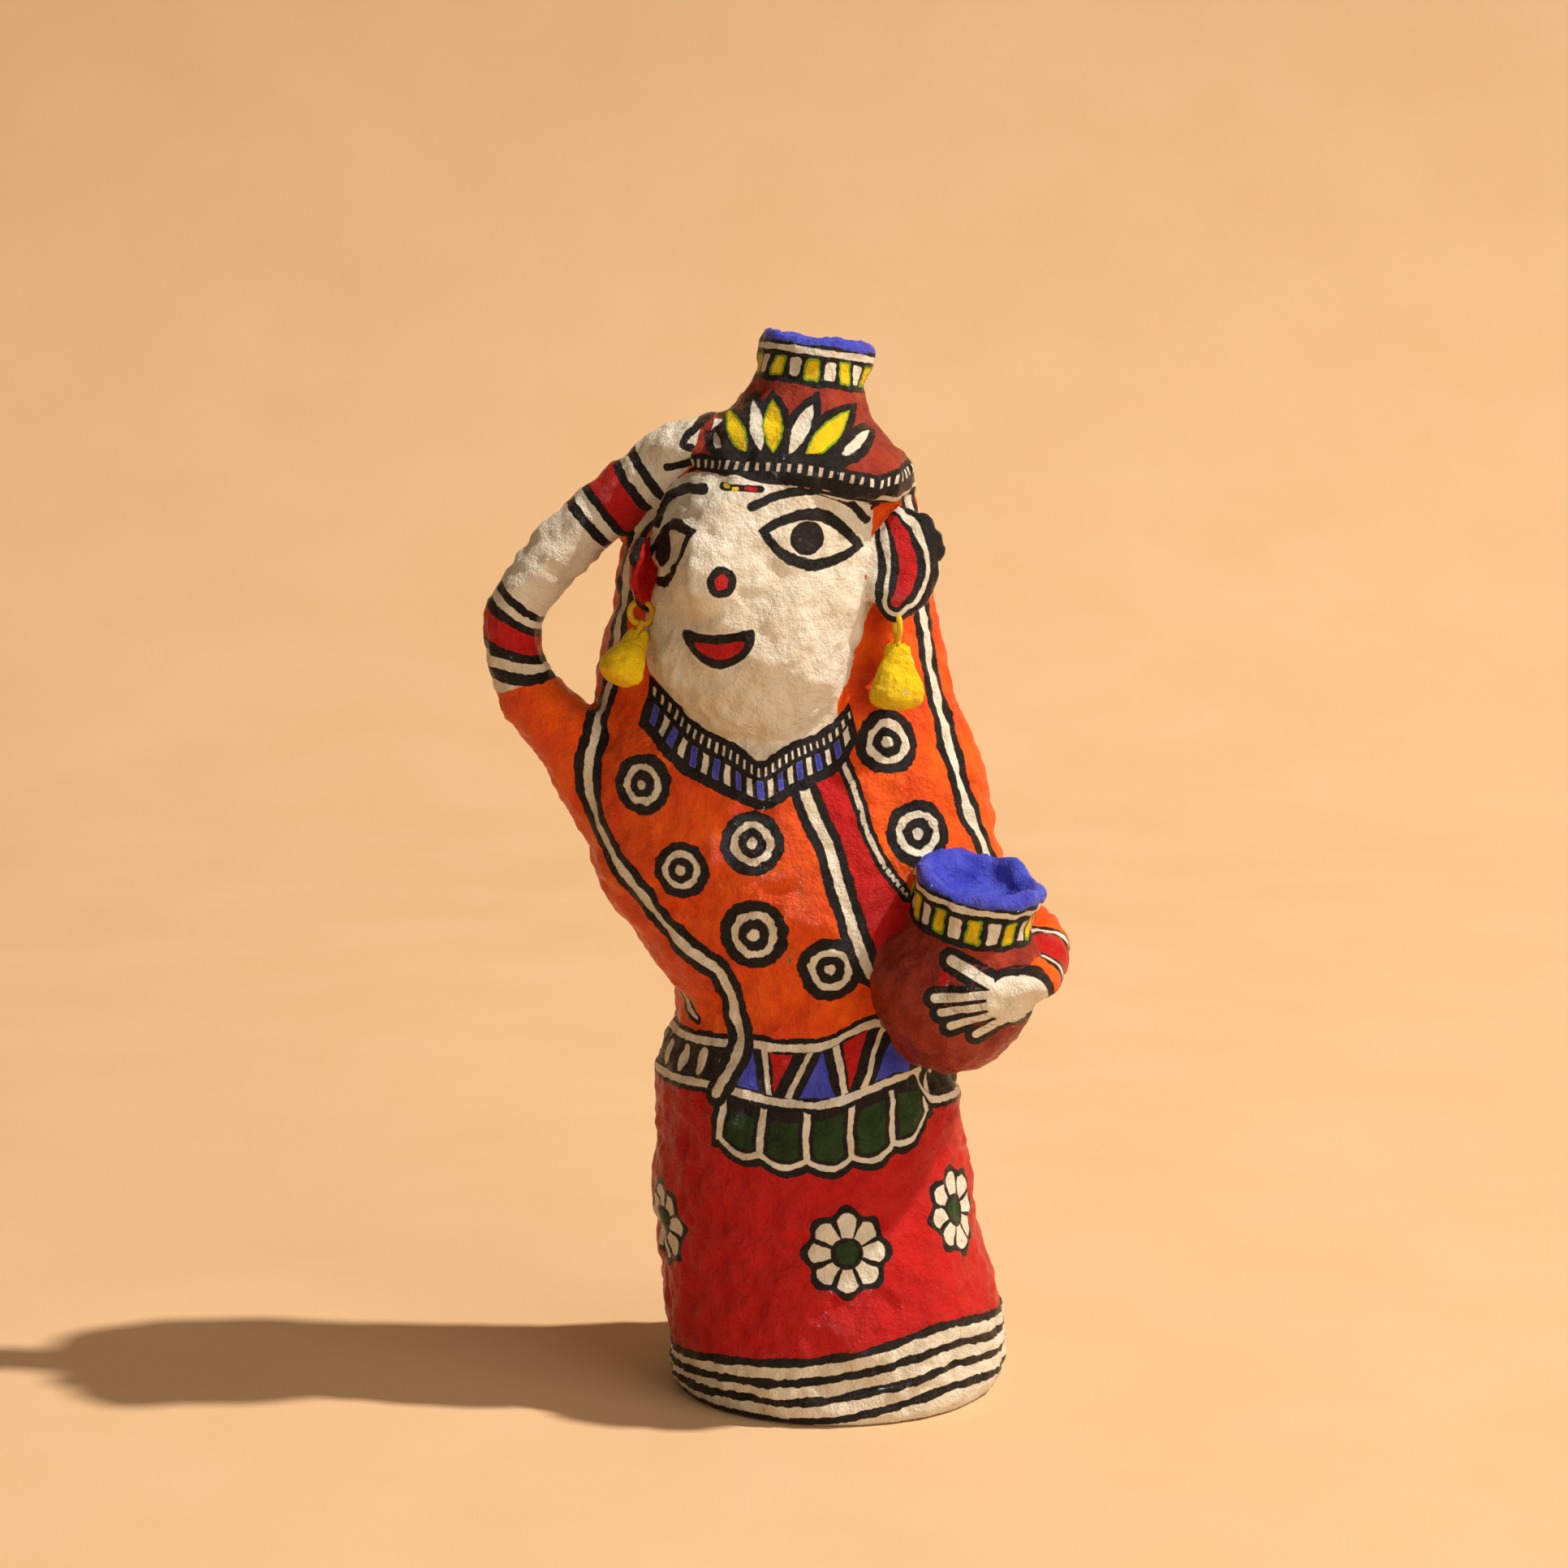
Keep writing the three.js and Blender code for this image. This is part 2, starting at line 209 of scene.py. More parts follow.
# Rings and flowers: angle from the front and height of each middle, with a ring's radius.
RINGS = ((-58, 148, 6.8), (-17, 136, 7.0), (-47, 129, 6.4), (-24, 115, 7.8), (5, 107, 7.2), (52, 158, 7.2),
    (53, 137, 7.4), (104, 152, 6.2), (122, 128, 6.4), (122, 104, 6), (148, 146, 6.3), (168, 122, 6.1), (-168, 150, 6.5),
    (-140, 128, 6.2), (-126, 154, 5.9), (142, 180, 6.2), (-152, 186, 6.3), (-178, 206, 6), (112, 196, 5.8),
    (-110, 182, 6), (-112, 112, 6.1))
FLOWERS = ((-71, 42), (10, 41.5), (62, 46), (116, 43), (170, 41), (-128, 43))


@dataclass
class Chart:
    """Where each vertex lies in the painter's terms. The arrays share the mesh's vertex order."""

    points: np.ndarray
    turn: np.ndarray = field(init=False)
    height: np.ndarray = field(init=False)

    def __post_init__(self) -> None:
        """Works out each vertex's height and its angle from the front."""
        self.height = self.points[:, 2]
        self.turn = np.degrees(np.arctan2(self.points[:, 0] - axis_x(self.height), -self.points[:, 1]))


def axis_x(height: np.ndarray | float) -> np.ndarray | float:
    """The middle of the body at a height."""
    return np.interp(height, BODY[:, 2], BODY[:, 0])


def spline(knots: np.ndarray, between: int = 8) -> np.ndarray:
    """A smooth line through the knots.

    Args:
        knots: One row a knot.
        between: Samples from each knot to the next.

    Returns:
        The samples, one row each.
    """
    knots = np.asarray(knots, float)
    padded = np.vstack([2 * knots[0] - knots[1], knots, 2 * knots[-1] - knots[-2]])
    t = np.linspace(0, 1, between, endpoint=False)[:, None]
    parts = []
    for a, b, c, d in zip(padded, padded[1:], padded[2:], padded[3:]):
        parts.append(0.5 * (2 * b + (c - a) * t + (2 * a - 5 * b + 4 * c - d) * t**2 + (3 * b - a - 3 * c + d) * t**3))
    return np.vstack(parts + [knots[-1:]])


def level_gap(points: np.ndarray, stations: np.ndarray) -> np.ndarray:
    """Distance of each point from a form made of level rings.

    Args:
        points: Positions in the row frame.
        stations: The rings, one row each, as for the body.

    Returns:
        One distance a point.
    """
    height = points[:, 2]
    x, y, wide, deep = (np.interp(height, stations[:, 2], stations[:, k]) for k in (0, 1, 3, 4))
    across, along = points[:, 0] - x, points[:, 1] - y
    share = np.hypot(across / wide, along / deep) + 1e-6
    beyond = np.maximum(0, np.maximum(stations[0, 2] - height, height - stations[-1, 2]))
    return np.abs((1 - 1 / share) * np.hypot(across, along)) + beyond


def line_gap(points: np.ndarray, line: np.ndarray, margin: float = FAR) -> tuple[np.ndarray, np.ndarray]:
    """Distance of each point from a line, and how far along the line its nearest place is.

    Args:
        points: Positions in the row frame.
        line: The line's samples.
        margin: Points further than this from the line keep this distance.

    Returns:
        The distances and the lengths along the line.
    """
    best = np.full(len(points), margin)
    along = np.full(len(points), -FAR)
    near = np.all((points > line[:, :3].min(0) - margin) & (points < line[:, :3].max(0) + margin), axis=1)
    own, own_best, own_along = points[near], best[near], along[near]
    run = 0.0
    for a, b in zip(line[:-1, :3], line[1:, :3]):
        step = b - a
        length = float(np.linalg.norm(step))
        share = np.clip((own - a) @ step / max(length**2, 1e-9), 0, 1)
        gap = np.linalg.norm(own - a - share[:, None] * step, axis=1)
        closer = gap < own_best
        own_best = np.where(closer, gap, own_best)
        own_along = np.where(closer, run + share * length, own_along)
        run += length
    best[near], along[near] = own_best, own_along
    return best, along


def limb_gap(points: np.ndarray, limb: np.ndarray) -> tuple[np.ndarray, np.ndarray]:
    """Distance of each point from a limb's skin, and how far along the limb it is.

    Args:
        points: Positions in the row frame.
        limb: The limb's middle line with its radius, one row a knot.

    Returns:
        The distances and the lengths along the limb.
    """
    line = spline(limb, 6)
    gap, along = line_gap(points, line)
    lengths = np.concatenate([[0], np.cumsum(np.linalg.norm(np.diff(line[:, :3], axis=0), axis=1))])
    return np.abs(gap - np.interp(along, lengths, line[:, 3])), along


def ear_gap(points: np.ndarray, ear: Ear) -> np.ndarray:
    """Rough distance of each point from an ear or a palm.

    Args:
        points: Positions in the row frame.
        ear: The ear or palm.

    Returns:
        One distance a point.
    """
    own = ear.local(points)
    share = np.linalg.norm(own, axis=1)
    return np.abs(1 - 1 / (share + 1e-6)) * np.linalg.norm(own * np.array(ear.half), axis=1)


class Surface:
    """The relaid figure, with what is needed to measure on it."""

    def __init__(self, obj: bpy.types.Object) -> None:
        """Reads the mesh.

        Args:
            obj: The relaid figure.
        """
        self.mesh = obj.data
        count = len(self.mesh.vertices)
        co = np.empty(count * 3)
        self.mesh.vertices.foreach_get("co", co)
        self.points = co.reshape(-1, 3) / MM
        edges = np.empty(len(self.mesh.edges) * 2, int)
        self.mesh.edges.foreach_get("vertices", edges)
        self.edges = edges.reshape(-1, 2)
        self.neighbours = np.bincount(self.edges.ravel(), minlength=count)
        self.bvh = BVHTree.FromPolygons(self.points.tolist(), [tuple(p.vertices) for p in self.mesh.polygons])

    def smoothed(self, values: np.ndarray, rounds: int) -> np.ndarray:
        """Values averaged with their neighbours'.

        Args:
            values: One number a vertex.
            rounds: How often they are averaged.

        Returns:
            The eased values.
        """
        a, b = self.edges.T
        for _ in range(rounds):
            near = np.bincount(a, values[b], len(values)) + np.bincount(b, values[a], len(values))
            values = 0.5 * values + 0.5 * near / self.neighbours
        return values

    def on_body(self, turn: float, height: float) -> tuple[Vector, Vector]:
        """Finds a place on the body.

        Args:
            turn: Angle from the front, in degrees.
            height: Height above the floor.

        Returns:
            The place, and the outward normal there.
        """
        angle = math.radians(turn)
        out = Vector((math.sin(angle), -math.cos(angle), 0))
        place, normal, _, _ = self.bvh.ray_cast(Vector((float(axis_x(height)), 0, height)), out)
        if normal.dot(out) < 0:
            normal = -normal
        return place, normal

    def keep(self, name: str, values: np.ndarray) -> None:
        """Stores values under a name that a material reads.

        Args:
            name: The attribute's name.
            values: One number or three a vertex.
        """
        kind = "FLOAT" if values.ndim == 1 else "FLOAT_VECTOR"
        attribute = self.mesh.attributes.new(name, kind, "POINT")
        attribute.data.foreach_set("value" if values.ndim == 1 else "vector", values.astype(np.float32).ravel())


def band_place(chart: Chart, band: tuple) -> np.ndarray:
    """A band's coordinates at each vertex.

    Args:
        chart: The vertices' angles and heights.
        band: The band's knots.

    Returns:
        The share of the way down the band, the band's height there, and nought.
    """
    knots = spline(np.array(band, float), 6)
    upper = np.interp(chart.turn, knots[:, 0], knots[:, 1])
    lower = np.interp(chart.turn, knots[:, 0], knots[:, 2])
    return np.stack([(upper - chart.height) / (upper - lower), upper - lower, np.zeros_like(upper)], axis=1)


def motif_place(surface: Surface, centres: list, radius: float) -> np.ndarray:
    """Places each vertex on the nearest motif.

    Args:
        surface: The relaid figure.
        centres: Angle, height and radius of each motif.
        radius: The radius that every motif is scaled to.

    Returns:
        Across, up and out from the motif's centre, or far away from all of them.
    """
    points = surface.points
    best = np.full(len(points), FAR)
    place = np.full((len(points), 3), FAR)
    for turn, height, size in centres:
        centre, normal = surface.on_body(turn, height)
        right = Vector((0, 0, 1)).cross(normal).normalized()
        up = normal.cross(right)
        away = points - np.array(centre)
        gap = np.linalg.norm(away, axis=1)
        closer = gap < best
        own = np.stack([away @ np.array(right), away @ np.array(up), away @ np.array(normal)], axis=1) * (radius / size)
        place = np.where(closer[:, None], own, place)
        best = np.where(closer, gap, best)
    place[np.linalg.norm(place, axis=1) > 1.3 * radius] = (0, 0, 10 * FAR)
    return place


def form_gaps(points: np.ndarray) -> tuple[dict[str, np.ndarray], np.ndarray, np.ndarray]:
    """How far each point lies from each form that the figure was built up on.

    Args:
        points: Positions in the row frame.

    Returns:
        The distances by form, and the lengths along the raised arm and along the arm at the hip.
    """
    arm, arm_along = limb_gap(points, RAISED_ARM)
    hip_arm, hip_along = limb_gap(points, HIP_ARM)
    face = level_gap(points, FACE)
    face[(points[:, 1] > FACE_BACK) & (points[:, 2] < CROWN)] += FAR
    gaps = {
        "body": level_gap(points, BODY),
        "face": face - np.where(points[:, 1] < NOSE_FRONT, NOSE_FAVOUR, 0.0),
        "arm": arm,
        "hip_arm": np.minimum(hip_arm, ear_gap(points, PALM)),
        "head_pot": HEAD_POT.gap(points),
        "hip_pot": HIP_POT.gap(points),
        "left_ear": ear_gap(points, LEFT_EAR),
        "right_ear": ear_gap(points, RIGHT_EAR),
    }
    return {name: gap - FAVOUR.get(name, 0.0) for name, gap in gaps.items()}, arm_along, hip_along


def stroke_gap(surface: Surface, name: str, strokes: tuple) -> np.ndarray:
    """Distance of each vertex from the nearest of some brush strokes.

    Args:
        surface: The relaid figure.
        name: The strokes' name; the trim also follows the edge of the veil.
        strokes: Angles from the front and heights along each stroke.

    Returns:
        One distance a vertex.
    """
    gaps = []
    for stroke in strokes:
        line = np.array([surface.on_body(turn, height)[0] for turn, height in spline(np.array(stroke), 6)])
        gaps.append(line_gap(surface.points, line, STROKE_REACH)[0])
    if name == "trim":
        edge = [surface.bvh.find_nearest(Vector(place))[0] for place in spline(np.array(VEIL_EDGE), 6)]
        gaps.append(line_gap(surface.points, np.array(edge), STROKE_REACH)[0])
    return np.min(gaps, axis=0)


def sash_gap(chart: Chart) -> np.ndarray:
    """Distance outside the sash, which runs between the front trim and the cord."""
    left, right = spline(np.array(TRIM[1]), 6)[::-1], spline(np.array(CORD[0]), 6)[::-1]
    from_left = (chart.turn - np.interp(chart.height, left[:, 1], left[:, 0])) * ARC
    from_right = (np.interp(chart.height, right[:, 1], right[:, 0]) - chart.turn) * ARC
    return -np.minimum(from_left, from_right)


def chart_figure(surface: Surface) -> None:
    """Measures the painter's coordinates on the figure and stores them on its mesh."""
    points = surface.points
    chart = Chart(points)
    gaps, arm_along, hip_along = form_gaps(points)
    for name, gap in gaps.items():
        others = np.min([other for key, other in gaps.items() if key != name], axis=0)
        surface.keep(name, surface.smoothed(np.clip(gap - others, -FORM_EDGE, FORM_EDGE), 3))
    surface.keep("arm_along", arm_along)
    surface.keep("hip_along", hip_along)
    own = HEAD_POT.local(points)
    surface.keep("head_pot_place", own)
    pot_turn = np.degrees(np.arctan2(own[:, 0], -own[:, 1]))
    surface.keep("brim", points[:, 2] - np.interp(pot_turn, *np.array(BRIM).T))
    surface.keep("hip_pot_place", HIP_POT.local(points))
    surface.keep("right_ear_place", RIGHT_EAR.local(points))
    surface.keep("turn", np.stack([points[:, 0] - axis_x(points[:, 2]), -points[:, 1], points[:, 2]], axis=1))
    for name, band in (("collar", COLLAR), ("belt", BELT), ("hem", HEM), ("apron", APRON)):
        surface.keep(name, band_place(chart, band))
    for name, strokes in (("trim", TRIM), ("cord", CORD)):
        surface.keep(name, stroke_gap(surface, name, strokes))
    surface.keep("sash", sash_gap(chart))
    surface.keep("ring", motif_place(surface, RINGS, RING_SIZE))
    flowers = [(turn, height, FLOWER_SIZE) for turn, height in FLOWERS]
    surface.keep("flower", motif_place(surface, flowers, FLOWER_SIZE))


# --- Shading -------------------------------------------------------------------------------------------------------


def linear(colour: str) -> tuple[float, float, float, float]:
    """An sRGB hex colour as linear RGBA."""
    parts = [int(colour[k:k + 2], 16) / 255 for k in (1, 3, 5)]
    return (*[c / 12.92 if c <= 0.04045 else ((c + 0.055) / 1.055) ** 2.4 for c in parts], 1.0)


class Signal:
    """A number carried by a shader socket. Arithmetic on it adds nodes."""

    def __init__(self, board: "Board", socket: bpy.types.NodeSocket) -> None:
        """Holds a socket of a board."""
        self.board = board
        self.socket = socket

    def __add__(self, other: "Signal | float") -> "Signal":
        """This and the other."""
        return self.board.math("ADD", self, other)

    def __sub__(self, other: "Signal | float") -> "Signal":
        """This less the other."""
        return self.board.math("SUBTRACT", self, other)

    def __rsub__(self, other: float) -> "Signal":
        """A number less this."""
        return self.board.math("SUBTRACT", other, self)

    def __mul__(self, other: "Signal | float") -> "Signal":
        """This times the other."""
        return self.board.math("MULTIPLY", self, other)

    def __truediv__(self, other: "Signal | float") -> "Signal":
        """This over the other."""
        return self.board.math("DIVIDE", self, other)

    def __abs__(self) -> "Signal":
        """This without its sign."""
        return self.board.math("ABSOLUTE", self)

    __radd__ = __add__
    __rmul__ = __mul__

    def least(self, *others: "Signal | float") -> "Signal":
        """The smallest of this and the others: either shape."""
        return self._fold("MINIMUM", others)

    def most(self, *others: "Signal | float") -> "Signal":
        """The largest of this and the others: both shapes at once."""
        return self._fold("MAXIMUM", others)

    def _fold(self, operation: str, others: tuple) -> "Signal":
        """Takes this and the others together, one by one."""
        result = self
        for other in others:
            result = self.board.math(operation, result, other)
        return result


class Board:
    """A material's node tree, and the paint laid on it so far."""

    def __init__(self, name: str) -> None:
        """Starts an empty material of the given name."""
        self.material = bpy.data.materials.new(name)
        self.material.use_nodes = True
        self.tree = self.material.node_tree
        self.tree.nodes.clear()
        self.place = self.add("ShaderNodeTexCoord").outputs["Object"]
        self.kept: dict[str, list[Signal]] = {}
        self.colour: bpy.types.NodeSocket | None = None

    def add(self, kind: str, settings: dict | None = None, inputs: dict | None = None) -> bpy.types.Node:
        """Adds one node.

        Args:
            kind: The node's type name.
            settings: Properties to set on it.
            inputs: Values or sockets for its inputs, by name or number.

        Returns:
            The node.
        """
        node = self.tree.nodes.new(kind)
        for key, value in (settings or {}).items():
            setattr(node, key, value)
        for key, value in (inputs or {}).items():
            value = value.socket if isinstance(value, Signal) else value
            if isinstance(value, bpy.types.NodeSocket):
                self.tree.links.new(value, node.inputs[key])
            else:
                node.inputs[key].default_value = value
        return node

    def math(self, operation: str, *values: Signal | float) -> Signal:
        """One step of arithmetic."""
        node = self.add("ShaderNodeMath", {"operation": operation}, dict(enumerate(values)))
        return Signal(self, node.outputs[0])

    def attribute(self, name: str) -> list[Signal]:
        """A value kept on the mesh: its three parts, or the same number three times."""
        if name not in self.kept:
            source = self.add("ShaderNodeAttribute", {"attribute_name": name})
            parts = self.add("ShaderNodeSeparateXYZ", inputs={0: source.outputs["Vector"]})
            self.kept[name] = [Signal(self, socket) for socket in parts.outputs]
        return self.kept[name]

    def number(self, name: str) -> Signal:
        """A single number kept on the mesh."""
        return self.attribute(name)[0]

    def grain(self, size: float, detail: float = 2.0, roughness: float = 0.5, shift: float = 0.0) -> Signal:
        """Noise about zero.

        Args:
            size: Width of its features in millimetres.
            detail: How many finer octaves it has.
            roughness: How strong the finer ones are.
            shift: Moves the pattern, so that two of a size differ.

        Returns:
            The noise.
        """
        vector = self.place
        if shift:
            moved = self.add("ShaderNodeVectorMath", {"operation": "ADD"}, {0: vector, 1: (shift, shift, shift)})
            vector = moved.outputs[0]
        node = self.add("ShaderNodeTexNoise", {"noise_dimensions": "3D"}, {
            "Vector": vector, "Scale": 1 / (size * MM), "Detail": detail, "Roughness": roughness})
        return Signal(self, node.outputs[0]) - 0.5

    def mixed(self, share: Signal | bpy.types.NodeSocket, under: bpy.types.NodeSocket | tuple,
              over: bpy.types.NodeSocket | tuple) -> bpy.types.NodeSocket:
        """Covers one colour with another.

        Args:
            share: How far it is covered.
            under: The colour below.
            over: The colour on top.

        Returns:
            The colour seen.
        """
        node = self.add("ShaderNodeMix", {"data_type": "RGBA"}, {0: share, 6: under, 7: over})
        return node.outputs[2]

    def pigment(self, hue: Hue, share: Signal | bpy.types.NodeSocket) -> bpy.types.NodeSocket:
        """A hue that wanders between its two shades."""
        return self.mixed(share, linear(hue.value[0]), linear(hue.value[1]))

    def lay(self, colour: bpy.types.NodeSocket | tuple, gap: Signal, soft: float = 0.16) -> None:
        """Brushes a colour on wherever the gap is below nought.

        Args:
            colour: The paint.
            gap: Distance outside the painted shape.
            soft: Width of the stroke's edge.
        """
        share = self.math("SUBTRACT", 0.5, gap / soft)
        share = self.add("ShaderNodeClamp", inputs={0: share}).outputs[0]
        self.colour = self.mixed(share, self.colour, colour)


@dataclass(frozen=True)
class Leaf:
    """A pointed petal on the front, from base to tip, with its half width."""

    base: tuple[float, float]
    tip: tuple[float, float]
    half: float
    hue: Hue


LOTUS = (
    Leaf((-27.0, 224.6), (-28.0, 228.6), 0.8, Hue.CREAM),
    Leaf((-20.8, 224.4), (-25.4, 233.8), 2.1, Hue.YELLOW),
    Leaf((0.2, 223.8), (7.2, 228.8), 1.3, Hue.CREAM),
    Leaf((-7.8, 223.8), (2.6, 233.2), 2.5, Hue.YELLOW),
    Leaf((-17.4, 225), (-19.4, 236), 1.7, Hue.CREAM),
    Leaf((-11.2, 224.8), (-5.6, 235.4), 1.9, Hue.CREAM),
    Leaf((-14.8, 225), (-14.8, 236), 2.4, Hue.YELLOW),
)
# The fingers spread on the hip pot and the palm: start, end and half width of each on the front.
FINGERS = (((34, 107.4), (25.6, 112), 1.2), ((36, 105.2), (21.8, 103.6), 1.0), ((36, 102.8), (23.2, 100.4), 0.95),
    ((37, 100.8), (25.4, 97.2), 0.95), ((39, 99.2), (31.2, 94.9), 1.0), ((38.6, 103.2), (42.4, 102.6), 5.4))

# The facing ear's middle line on the front, with how far each coat reaches from it, outermost first.
EAR_CORE = (
    ((12.6, 208.2), (4.6, 3.4, 2.0, 1.2)), ((14.4, 205), (6.0, 4.8, 2.8, 1.7)), ((15.8, 200.6), (6.9, 5.0, 3.9, 2.0)),
    ((16.1, 196.5), (7.1, 4.9, 4.0, 2.0)), ((14.9, 193), (6.6, 4.6, 3.5, 1.7)), ((13.3, 190.4), (4.8, 3.3, 2.3, 1.3)))


class FigurePainter:
    """Paints the figure from the ground up, in the order the brush would go."""

    def __init__(self) -> None:
        """Mixes the paints and finds where each point of the surface is."""
        self.board = Board("Papier-mache, hand-painted in poster colours and varnished")
        board = self.board
        split = board.add("ShaderNodeSeparateXYZ", inputs={0: board.place})
        self.x, self.y, self.z = (Signal(board, socket) / MM for socket in split.outputs)
        self.waver = board.grain(6, 2) * 1.7 + board.grain(1.5, 2) * 0.9
        drift = board.grain(9, 5, 0.65, 3.0)
        self.drift = board.math("SMOOTH_MIN", 1.0, board.math("MAXIMUM", drift * 2.6 + 0.45, 0.0), 0.1)
        self.paints = {hue: board.pigment(hue, self.drift) for hue in Hue}
        across, forward, _ = board.attribute("turn")
        self.turn = self.angle(across, forward)

    def lay(self, hue: Hue, gap: Signal, within: Signal | None = None, waver: float = 1.0) -> None:
        """Lays a hue with an unsteady edge.

        Args:
            hue: The paint.
            gap: Distance outside the shape.
            within: Distance outside a region that the shape is held to.
            waver: How unsteady the edge is.
        """
        gap = gap + self.waver * waver
        self.board.lay(self.paints[hue], gap if within is None else gap.most(within))

    def coat(self, hue: Hue, gap: Signal, within: Signal, waver: float = 1.0) -> None:
        """Lays a hue, with the green edge that wet yellow takes from the black beside it.

        Args:
            hue: The paint.
            gap: Distance outside the shape.
            within: Distance outside the region that it is held to.
            waver: How unsteady the edge is.
        """
        if hue is Hue.YELLOW:
            self.lay(Hue.LIME, gap - 0.1, within, waver * 1.1)
            gap = gap + 0.4
        self.lay(hue, gap, within, waver)

    def length(self, a: Signal, b: Signal) -> Signal:
        """The length of a pair."""
        return self.board.math("SQRT", a * a + b * b)

    def stripe(self, value: Signal, middle: float, half: float) -> Signal:
        """Distance outside a stripe of a value."""
        return abs(value - middle) - half

    def angle(self, across: Signal, forward: Signal) -> Signal:
        """Angle in degrees from the front."""
        return self.board.math("ARCTAN2", across, forward) * (180 / math.pi)

    def repeat(self, value: Signal, step: float, shift: float = 0.0) -> Signal:
        """Position within a repeat, from minus a half to a half."""
        return self.board.math("FRACT", value / step + (100.5 + shift)) - 0.5

    def parity(self, value: Signal, step: float, shift: float = 0.0) -> Signal:
        """Minus a half and a half for alternate repeats."""
        cell = self.board.math("FLOOR", value / step + (100.5 + shift))
        return self.board.math("FRACT", cell * 0.5 + 0.25) * 2 - 1.0

    def along(self, start: tuple, end: tuple) -> tuple[Signal, Signal]:
        """Measures from a straight stroke on the front.

        Args:
            start: Across and height where it starts.
            end: The same where it ends.

        Returns:
            The distance from it, and the share of the way along it.
        """
        run, rise = end[0] - start[0], end[1] - start[1]
        share = ((self.x - start[0]) * run + (self.z - start[1]) * rise) / (run * run + rise * rise)
        share = share.most(0.0).least(1.0)
        return self.length(self.x - start[0] - share * run, self.z - start[1] - share * rise), share

    def segment(self, start: tuple, end: tuple) -> Signal:
        """Distance on the front from a straight stroke."""
        return self.along(start, end)[0]

    def stroke(self, *places: tuple) -> Signal:
        """Distance on the front from a smooth stroke through the places."""
        line = spline(np.array(places, float), 3)
        parts = [self.segment(tuple(map(float, a)), tuple(map(float, b))) for a, b in zip(line, line[1:])]
        return parts[0].least(*parts[1:])

    def skirt(self) -> None:
        """Red skirt with flowers, and the striped hem."""
        down = self.board.number("belt")
        self.lay(Hue.RED, 0.5 - down)
        u, v, w = self.board.attribute("flower")
        radius = self.length(u, v) + abs(w) * 0.2
        angle = self.angle(u, v)
        petal = self.repeat(angle, 45)
        across = radius * self.board.math("SINE", petal * (math.pi / 4))
        self.lay(Hue.BLACK, radius - 10.4 - 0.9 * self.board.math("COSINE", petal * (2 * math.pi)), waver=0.6)
        shape = (abs(across) - radius * 0.3).most(abs(radius - 6.6) - 2.7, self.length(radius - 6.2, across) - 3.1)
        self.lay(Hue.CREAM, shape, waver=0.5)
        self.lay(Hue.GREEN, radius - 2.7, waver=0.8)
        down, tall, _ = self.board.attribute("hem")
        self.lay(Hue.CREAM, tall * -1.0 * down)
        for share in (0, 1 / 3, 2 / 3, 1):
            self.lay(Hue.BLACK, abs((down - share) * tall) - 1.05, waver=0.8)

    def apron(self) -> None:
        """Green scalloped apron under the belt."""
        down, tall, _ = self.board.attribute("apron")
        turn = self.turn
        depth = down * tall
        inside = (abs(turn - 8.5) * 0.61 - 28.0).most(depth * -1.0 - 4)
        cell = self.repeat(turn, 17.4, 0.51)
        bulge = 2.0 * self.board.math("COSINE", cell * math.pi)
        edge = depth - tall - bulge + 1.9
        self.lay(Hue.BLACK, edge - 0.7, inside - 0.8, 0.7)
        self.lay(Hue.CREAM, edge + 1.1, inside + 0.7, 0.6)
        window = abs(cell) * 10.6 - 4.55
        self.lay(Hue.BLACK, (edge + 2.5).most(window), inside + 1.5, 0.5)
        self.lay(Hue.GREEN, (edge + 3.5).most(window + 1.15, 2.6 - depth), inside + 2, 0.7)

    def belt(self) -> None:
        """Black belt with cream lines, blue and red triangles and slanted bars; ovals at her right."""
        down, tall, _ = self.board.attribute("belt")
        turn = self.turn
        depth = down * tall
        band = self.board.math("MAXIMUM", depth * -1.0 - 0.9, depth - tall - 0.9)
        self.lay(Hue.BLACK, band)
        self.lay(Hue.CREAM, self.stripe(depth, 1.3, 0.9), waver=0.6)
        self.lay(Hue.CREAM, abs(depth - tall + 1.2) - 0.9, waver=0.6)
        front = abs(turn - 8) - 47
        cell = self.repeat(turn, 31, 0.903)
        other = self.repeat(turn, 31, 0.468)
        rise = (tall - depth - 2.6) / (tall - 5.2)
        room = (2.7 - depth).most(depth - tall + 2.7)
        self.lay(Hue.BLUE, (abs(cell) * 19 - 4.3 * (1 - rise)).most(room), front, 0.6)
        self.lay(Hue.RED, (abs(other) * 19 - 3.0 * rise).most(room), front, 0.6)
        self.lay(Hue.CREAM, (abs(abs(cell) * 19 - 7.1 + 3.7 * rise) - 0.75).most(room - 0.3), front, 0.5)
        oval = self.length(self.repeat(turn, 12, 0.2) * 7.4, (depth - tall * 0.5) * 0.5)
        self.lay(Hue.CREAM, oval - 1.6, 0.5 - front, 0.5)

    def veil(self) -> None:
        """Rings, sash and trimmed edges on the orange."""
        above = self.board.attribute("belt")[0] + 0.06
        u, v, w = self.board.attribute("ring")
        radius = self.length(u, v) + abs(w) * 0.2
        for hue, size in ((Hue.BLACK, 6.4), (Hue.CREAM, 4.3), (Hue.BLACK, 2.9), (Hue.CREAM, 1.1)):
            self.lay(hue, radius - size, above * 8, 0.9)
        self.lay(Hue.RED, self.board.number("sash"), above * 8)
        cord = self.board.number("cord")
        self.lay(Hue.BLACK, cord - 1.7, above * 8, 0.6)
        self.lay(Hue.CREAM, cord - 0.62, above * 8, 0.3)

